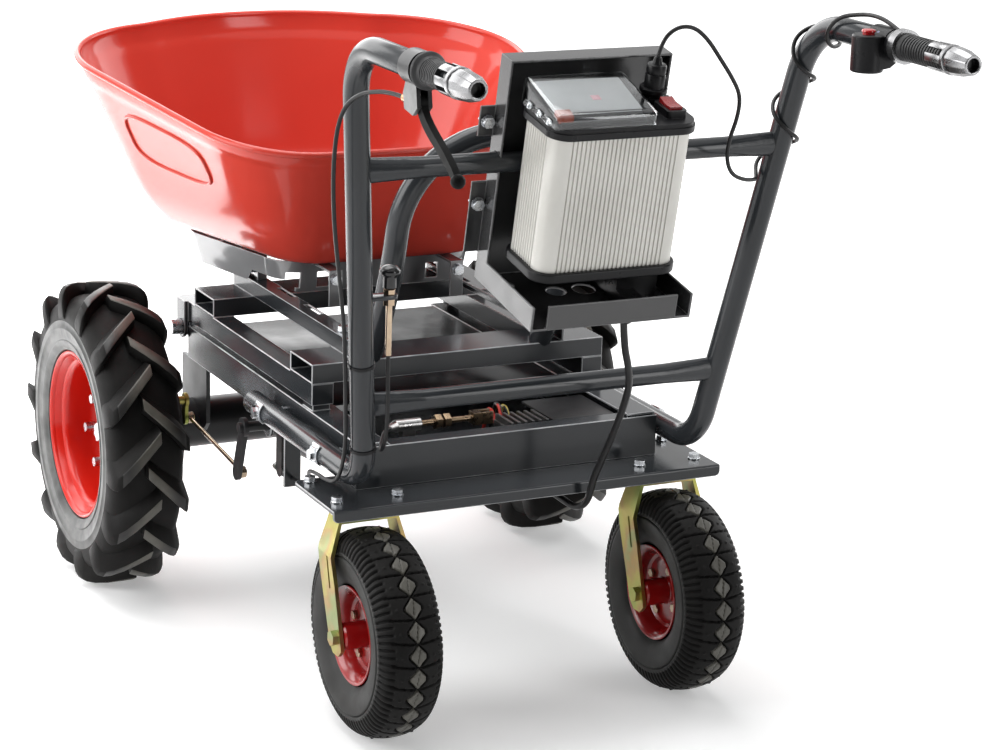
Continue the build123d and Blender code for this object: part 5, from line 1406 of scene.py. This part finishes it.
def gripEnd(name, sizes):
    x = sizes["side"] * grip["x"]
    ring = sizes["ring"]
    centre = (x, sizes["start"], handle["gripZ"])
    length = sizes["start"] - sizes["end"]
    pieces = []
    for index in range(finger["count"]):
        pieces.append(fingerPiece(index, centre, sizes["fingers"], ring + finger["overlap"]))
    bore = grip["bore"]
    band = [(ring, bore), (ring, 16.4), (ring + 1, 17.2), (ring + 6, 17.2), (ring + 7, 16.4),
            (ring + 7, bore)]
    pieces.append(turned("band", band, centre, backwards, steps=48))
    nose = [(ring + 7, bore), (ring + 7, 16), (ring + 14, 16.6), (length - 13, 15), (length - 2, 12),
            (length, 11), (length, 8.6), (length - 1, 7.8), (length - 9, 7.4), (length - 9, 0)]
    body = turned("nose", nose, centre, backwards, steps=12, angle=12)
    rounded(body, gripNose["round"], angle=24)
    smooth(body)
    pieces.append(body)
    for piece in pieces:
        paint(piece, "chrome")
    reach = sizes["end"] + gripNose["holeDepth"]
    axis = Vector((x, handle["gripZ"]))
    paintWhere(body, "plastic",
               lambda spot: spot.y < reach and (spot.xz - axis).length < gripNose["holeRadius"])
    standIn(join(name, pieces), None, "chrome", sizes["node"])


# Brake perch with a black clamp round the bar, a dark body under it and a copper adjuster in front
perch = {"round": 1.2, "clampRadius": 20.5, "bodyIn": 3, "bodyZ": 860, "adjusterY": -533,
         "adjusterZ": 850}


def brakePerch():
    def onClamp(spot):
        return math.hypot(spot.x + grip["x"], spot.z - handle["gripZ"]) < perch["clampRadius"]

    def onBody(spot):
        return spot.x > -grip["x"] - perch["bodyIn"] and spot.z < perch["bodyZ"]

    def onAdjuster(spot):
        return spot.y > perch["adjusterY"] and spot.z < perch["adjusterZ"]

    piece = shaped("brake_perch", "alloy", perch["round"])
    for look, test in (("blackPaint", onClamp), ("plastic", onBody), ("copper", onAdjuster)):
        paintWhere(piece, look, test)
    standIn(piece, None, "alloy", "brake_perch")


# Switch box with a bright collar and a lens beside the button
switch = {"round": 2.6, "collarY": -566, "lensX": 288, "lensY": -540, "lensLow": 884, "lensHigh": 889,
          "lensRadius": 5, "lensRound": 1.5}


def switchBox():
    piece = shaped("switch_box", "plastic", switch["round"], segments=4)
    paintWhere(piece, "chrome", lambda spot: spot.y < switch["collarY"])
    low, high = [(switch["lensX"], switch["lensY"], switch[end]) for end in ("lensLow", "lensHigh")]
    lens = roundBar("lens", low, high, switch["lensRadius"], steps=24, bevel=switch["lensRound"])
    paint(lens, "lens")
    standIn(join("switchBox", [piece, lens]), None, "black_plastic", "switch_box")


# Pull knob of the tipper release
knobProfile = [(-71, 0), (-71, 2.5), (0, 2.5), (0, 7.2), (1, 8), (12, 8), (14.5, 8.8), (17, 11.8),
               (18.5, 12.5), (21, 12.5), (22.3, 12), (25.5, 9.5), (27.5, 5), (28, 0)]


def releaseKnob():
    foot = (knob["x"], knob["y"], knob["tabZ"] + knob["lift"])
    piece = turned("releaseKnob", knobProfile, foot, (0, 0, 1), steps=40)
    standIn(piece, "gloss", "black_plastic", "release_knob")


# Curved washers between a leg and its bolt heads
washer = {"radius": 16, "half": 11, "turn": 52, "steps": 8, "wall": 1.8, "round": 0.5, "crease": 40}


def saddle(side, y):
    points = []
    for along in (-washer["half"], washer["half"]):
        for step in range(washer["steps"] + 1):
            angle = math.radians(washer["turn"] * (2 * step / washer["steps"] - 1))
            x = side * (handle["legX"] + washer["radius"] * math.cos(angle))
            z = handle["legZ"] + washer["radius"] * math.sin(angle)
            points.append(Vector((x, y + along, z)) * mm)
    piece = curvedPlate("saddle", points, washer["steps"], washer)
    paint(piece, "zinc")
    return piece


def frameBolts():
    pieces = [shaped("frame_bolts", "zinc", 0.5)]
    for side in (-1, 1):
        pieces += [saddle(side, y) for y in handle["legBolts"]]
    standIn(join("frameBolts", pieces), None, "zinc", "frame_bolts")


# Wires of the controller, a colour each
wires = {"round": 0.2, "half": 5}


def wireLoom():
    piece = shaped("wire_loom", "redWire", wires["round"])
    middle = nodeMiddle("wire_loom").x / mm
    paintWhere(piece, "yellowWire", lambda spot: spot.x > middle + wires["half"])
    paintWhere(piece, "cable", lambda spot: abs(spot.x - middle) < wires["half"])
    standIn(piece, None, "red_plastic", "wire_loom")


frameBolts()
wireLoom()
gripSleeves()
for endName, endSizes in gripEnds.items():
    gripEnd(endName, endSizes)
brakePerch()
switchBox()
releaseKnob()
print("stage: grips and controls")

# Pieces that keep their CAD form: look, slot and width of the rounded edges, and the lighter look painted
# on those edges as a highlight
skins = {
    "chassis_rail_left": ("framePaint", "frame_paint", 1.2),
    "chassis_rail_right": ("framePaint", "frame_paint", 1.2),
    "rear_wall": ("framePaint", "frame_paint", 1.2),
    "front_member": ("framePaint", "frame_paint", 1.2),
    "castor_plate": ("framePaint", "frame_paint", 1.2),
    "castor_mounts": ("goldZinc", "gold_zinc", 0.6),
    "axle_housing": ("blackPaint", "black_paint", 1.0),
    "upper_crossbar": ("framePaint", "frame_paint", 0.6),
    "lower_crossbar": ("framePaint", "frame_paint", 0.6),
    "battery_bracket": ("bracketPaint", "black_paint", 1.2),
    "battery_bottom_cap": ("plastic", "black_plastic", 2.0),
    "battery_dock": ("plastic", "black_plastic", 0.8),
    "rocker": ("darkRed", "red_plastic", 1.0),
    "controller": ("alloy", "alloy", 0.5),
    "cover_panel": ("blackPaint", "black_paint", 0.6),
    "knob_tube": ("champagne", "brass", 0.4),
    "latch_sleeve": ("steel", "steel", 0.6),
    "latch_bolt": ("bronze", "brass", 0.5),
    "brake_lever": ("leverBlack", "black_plastic", 1.4),
    "stop_button": ("redPlastic", "red_plastic", 0.5),
    "brake_shaft": ("blackPaint", "black_paint", 0.7),
    "brake_wire": ("steel", "steel", 0.3),
    "brake_rod": ("champagne", "brass", 0.5),
    "brake_arm": ("goldZinc", "gold_zinc", 0.5),
    "drive_hub_left": ("zinc", "zinc", 0.6),
    "drive_hub_right": ("zinc", "zinc", 0.6),
    "tipper_frame": ("framePaint", "frame_paint", 1.2),
    "tub_base": ("panPaint", "pan_paint", 0.8),
    "tub_bolts": ("zinc", "zinc", 0.5),
}
# Looks painted on the rounded edges of some skins as a painted highlight
edges = {"chassis_rail_left": "frameEdgeHighlight", "chassis_rail_right": "frameEdgeHighlight", "rear_wall": "frameEdgeHighlight",
         "castor_plate": "frameEdgeHighlight", "tipper_frame": "frameEdgeHighlight", "tub_base": "frameEdgeHighlight",
         "battery_bracket": "blackEdgeHighlight"}
for nodeName, (lookName, slotName, bevelWidth) in skins.items():
    highlightName = edges.get(nodeName)
    standIn(shaped(nodeName, lookName, bevelWidth, edge=highlightName), None, slotName, nodeName)
print("stage: skins")
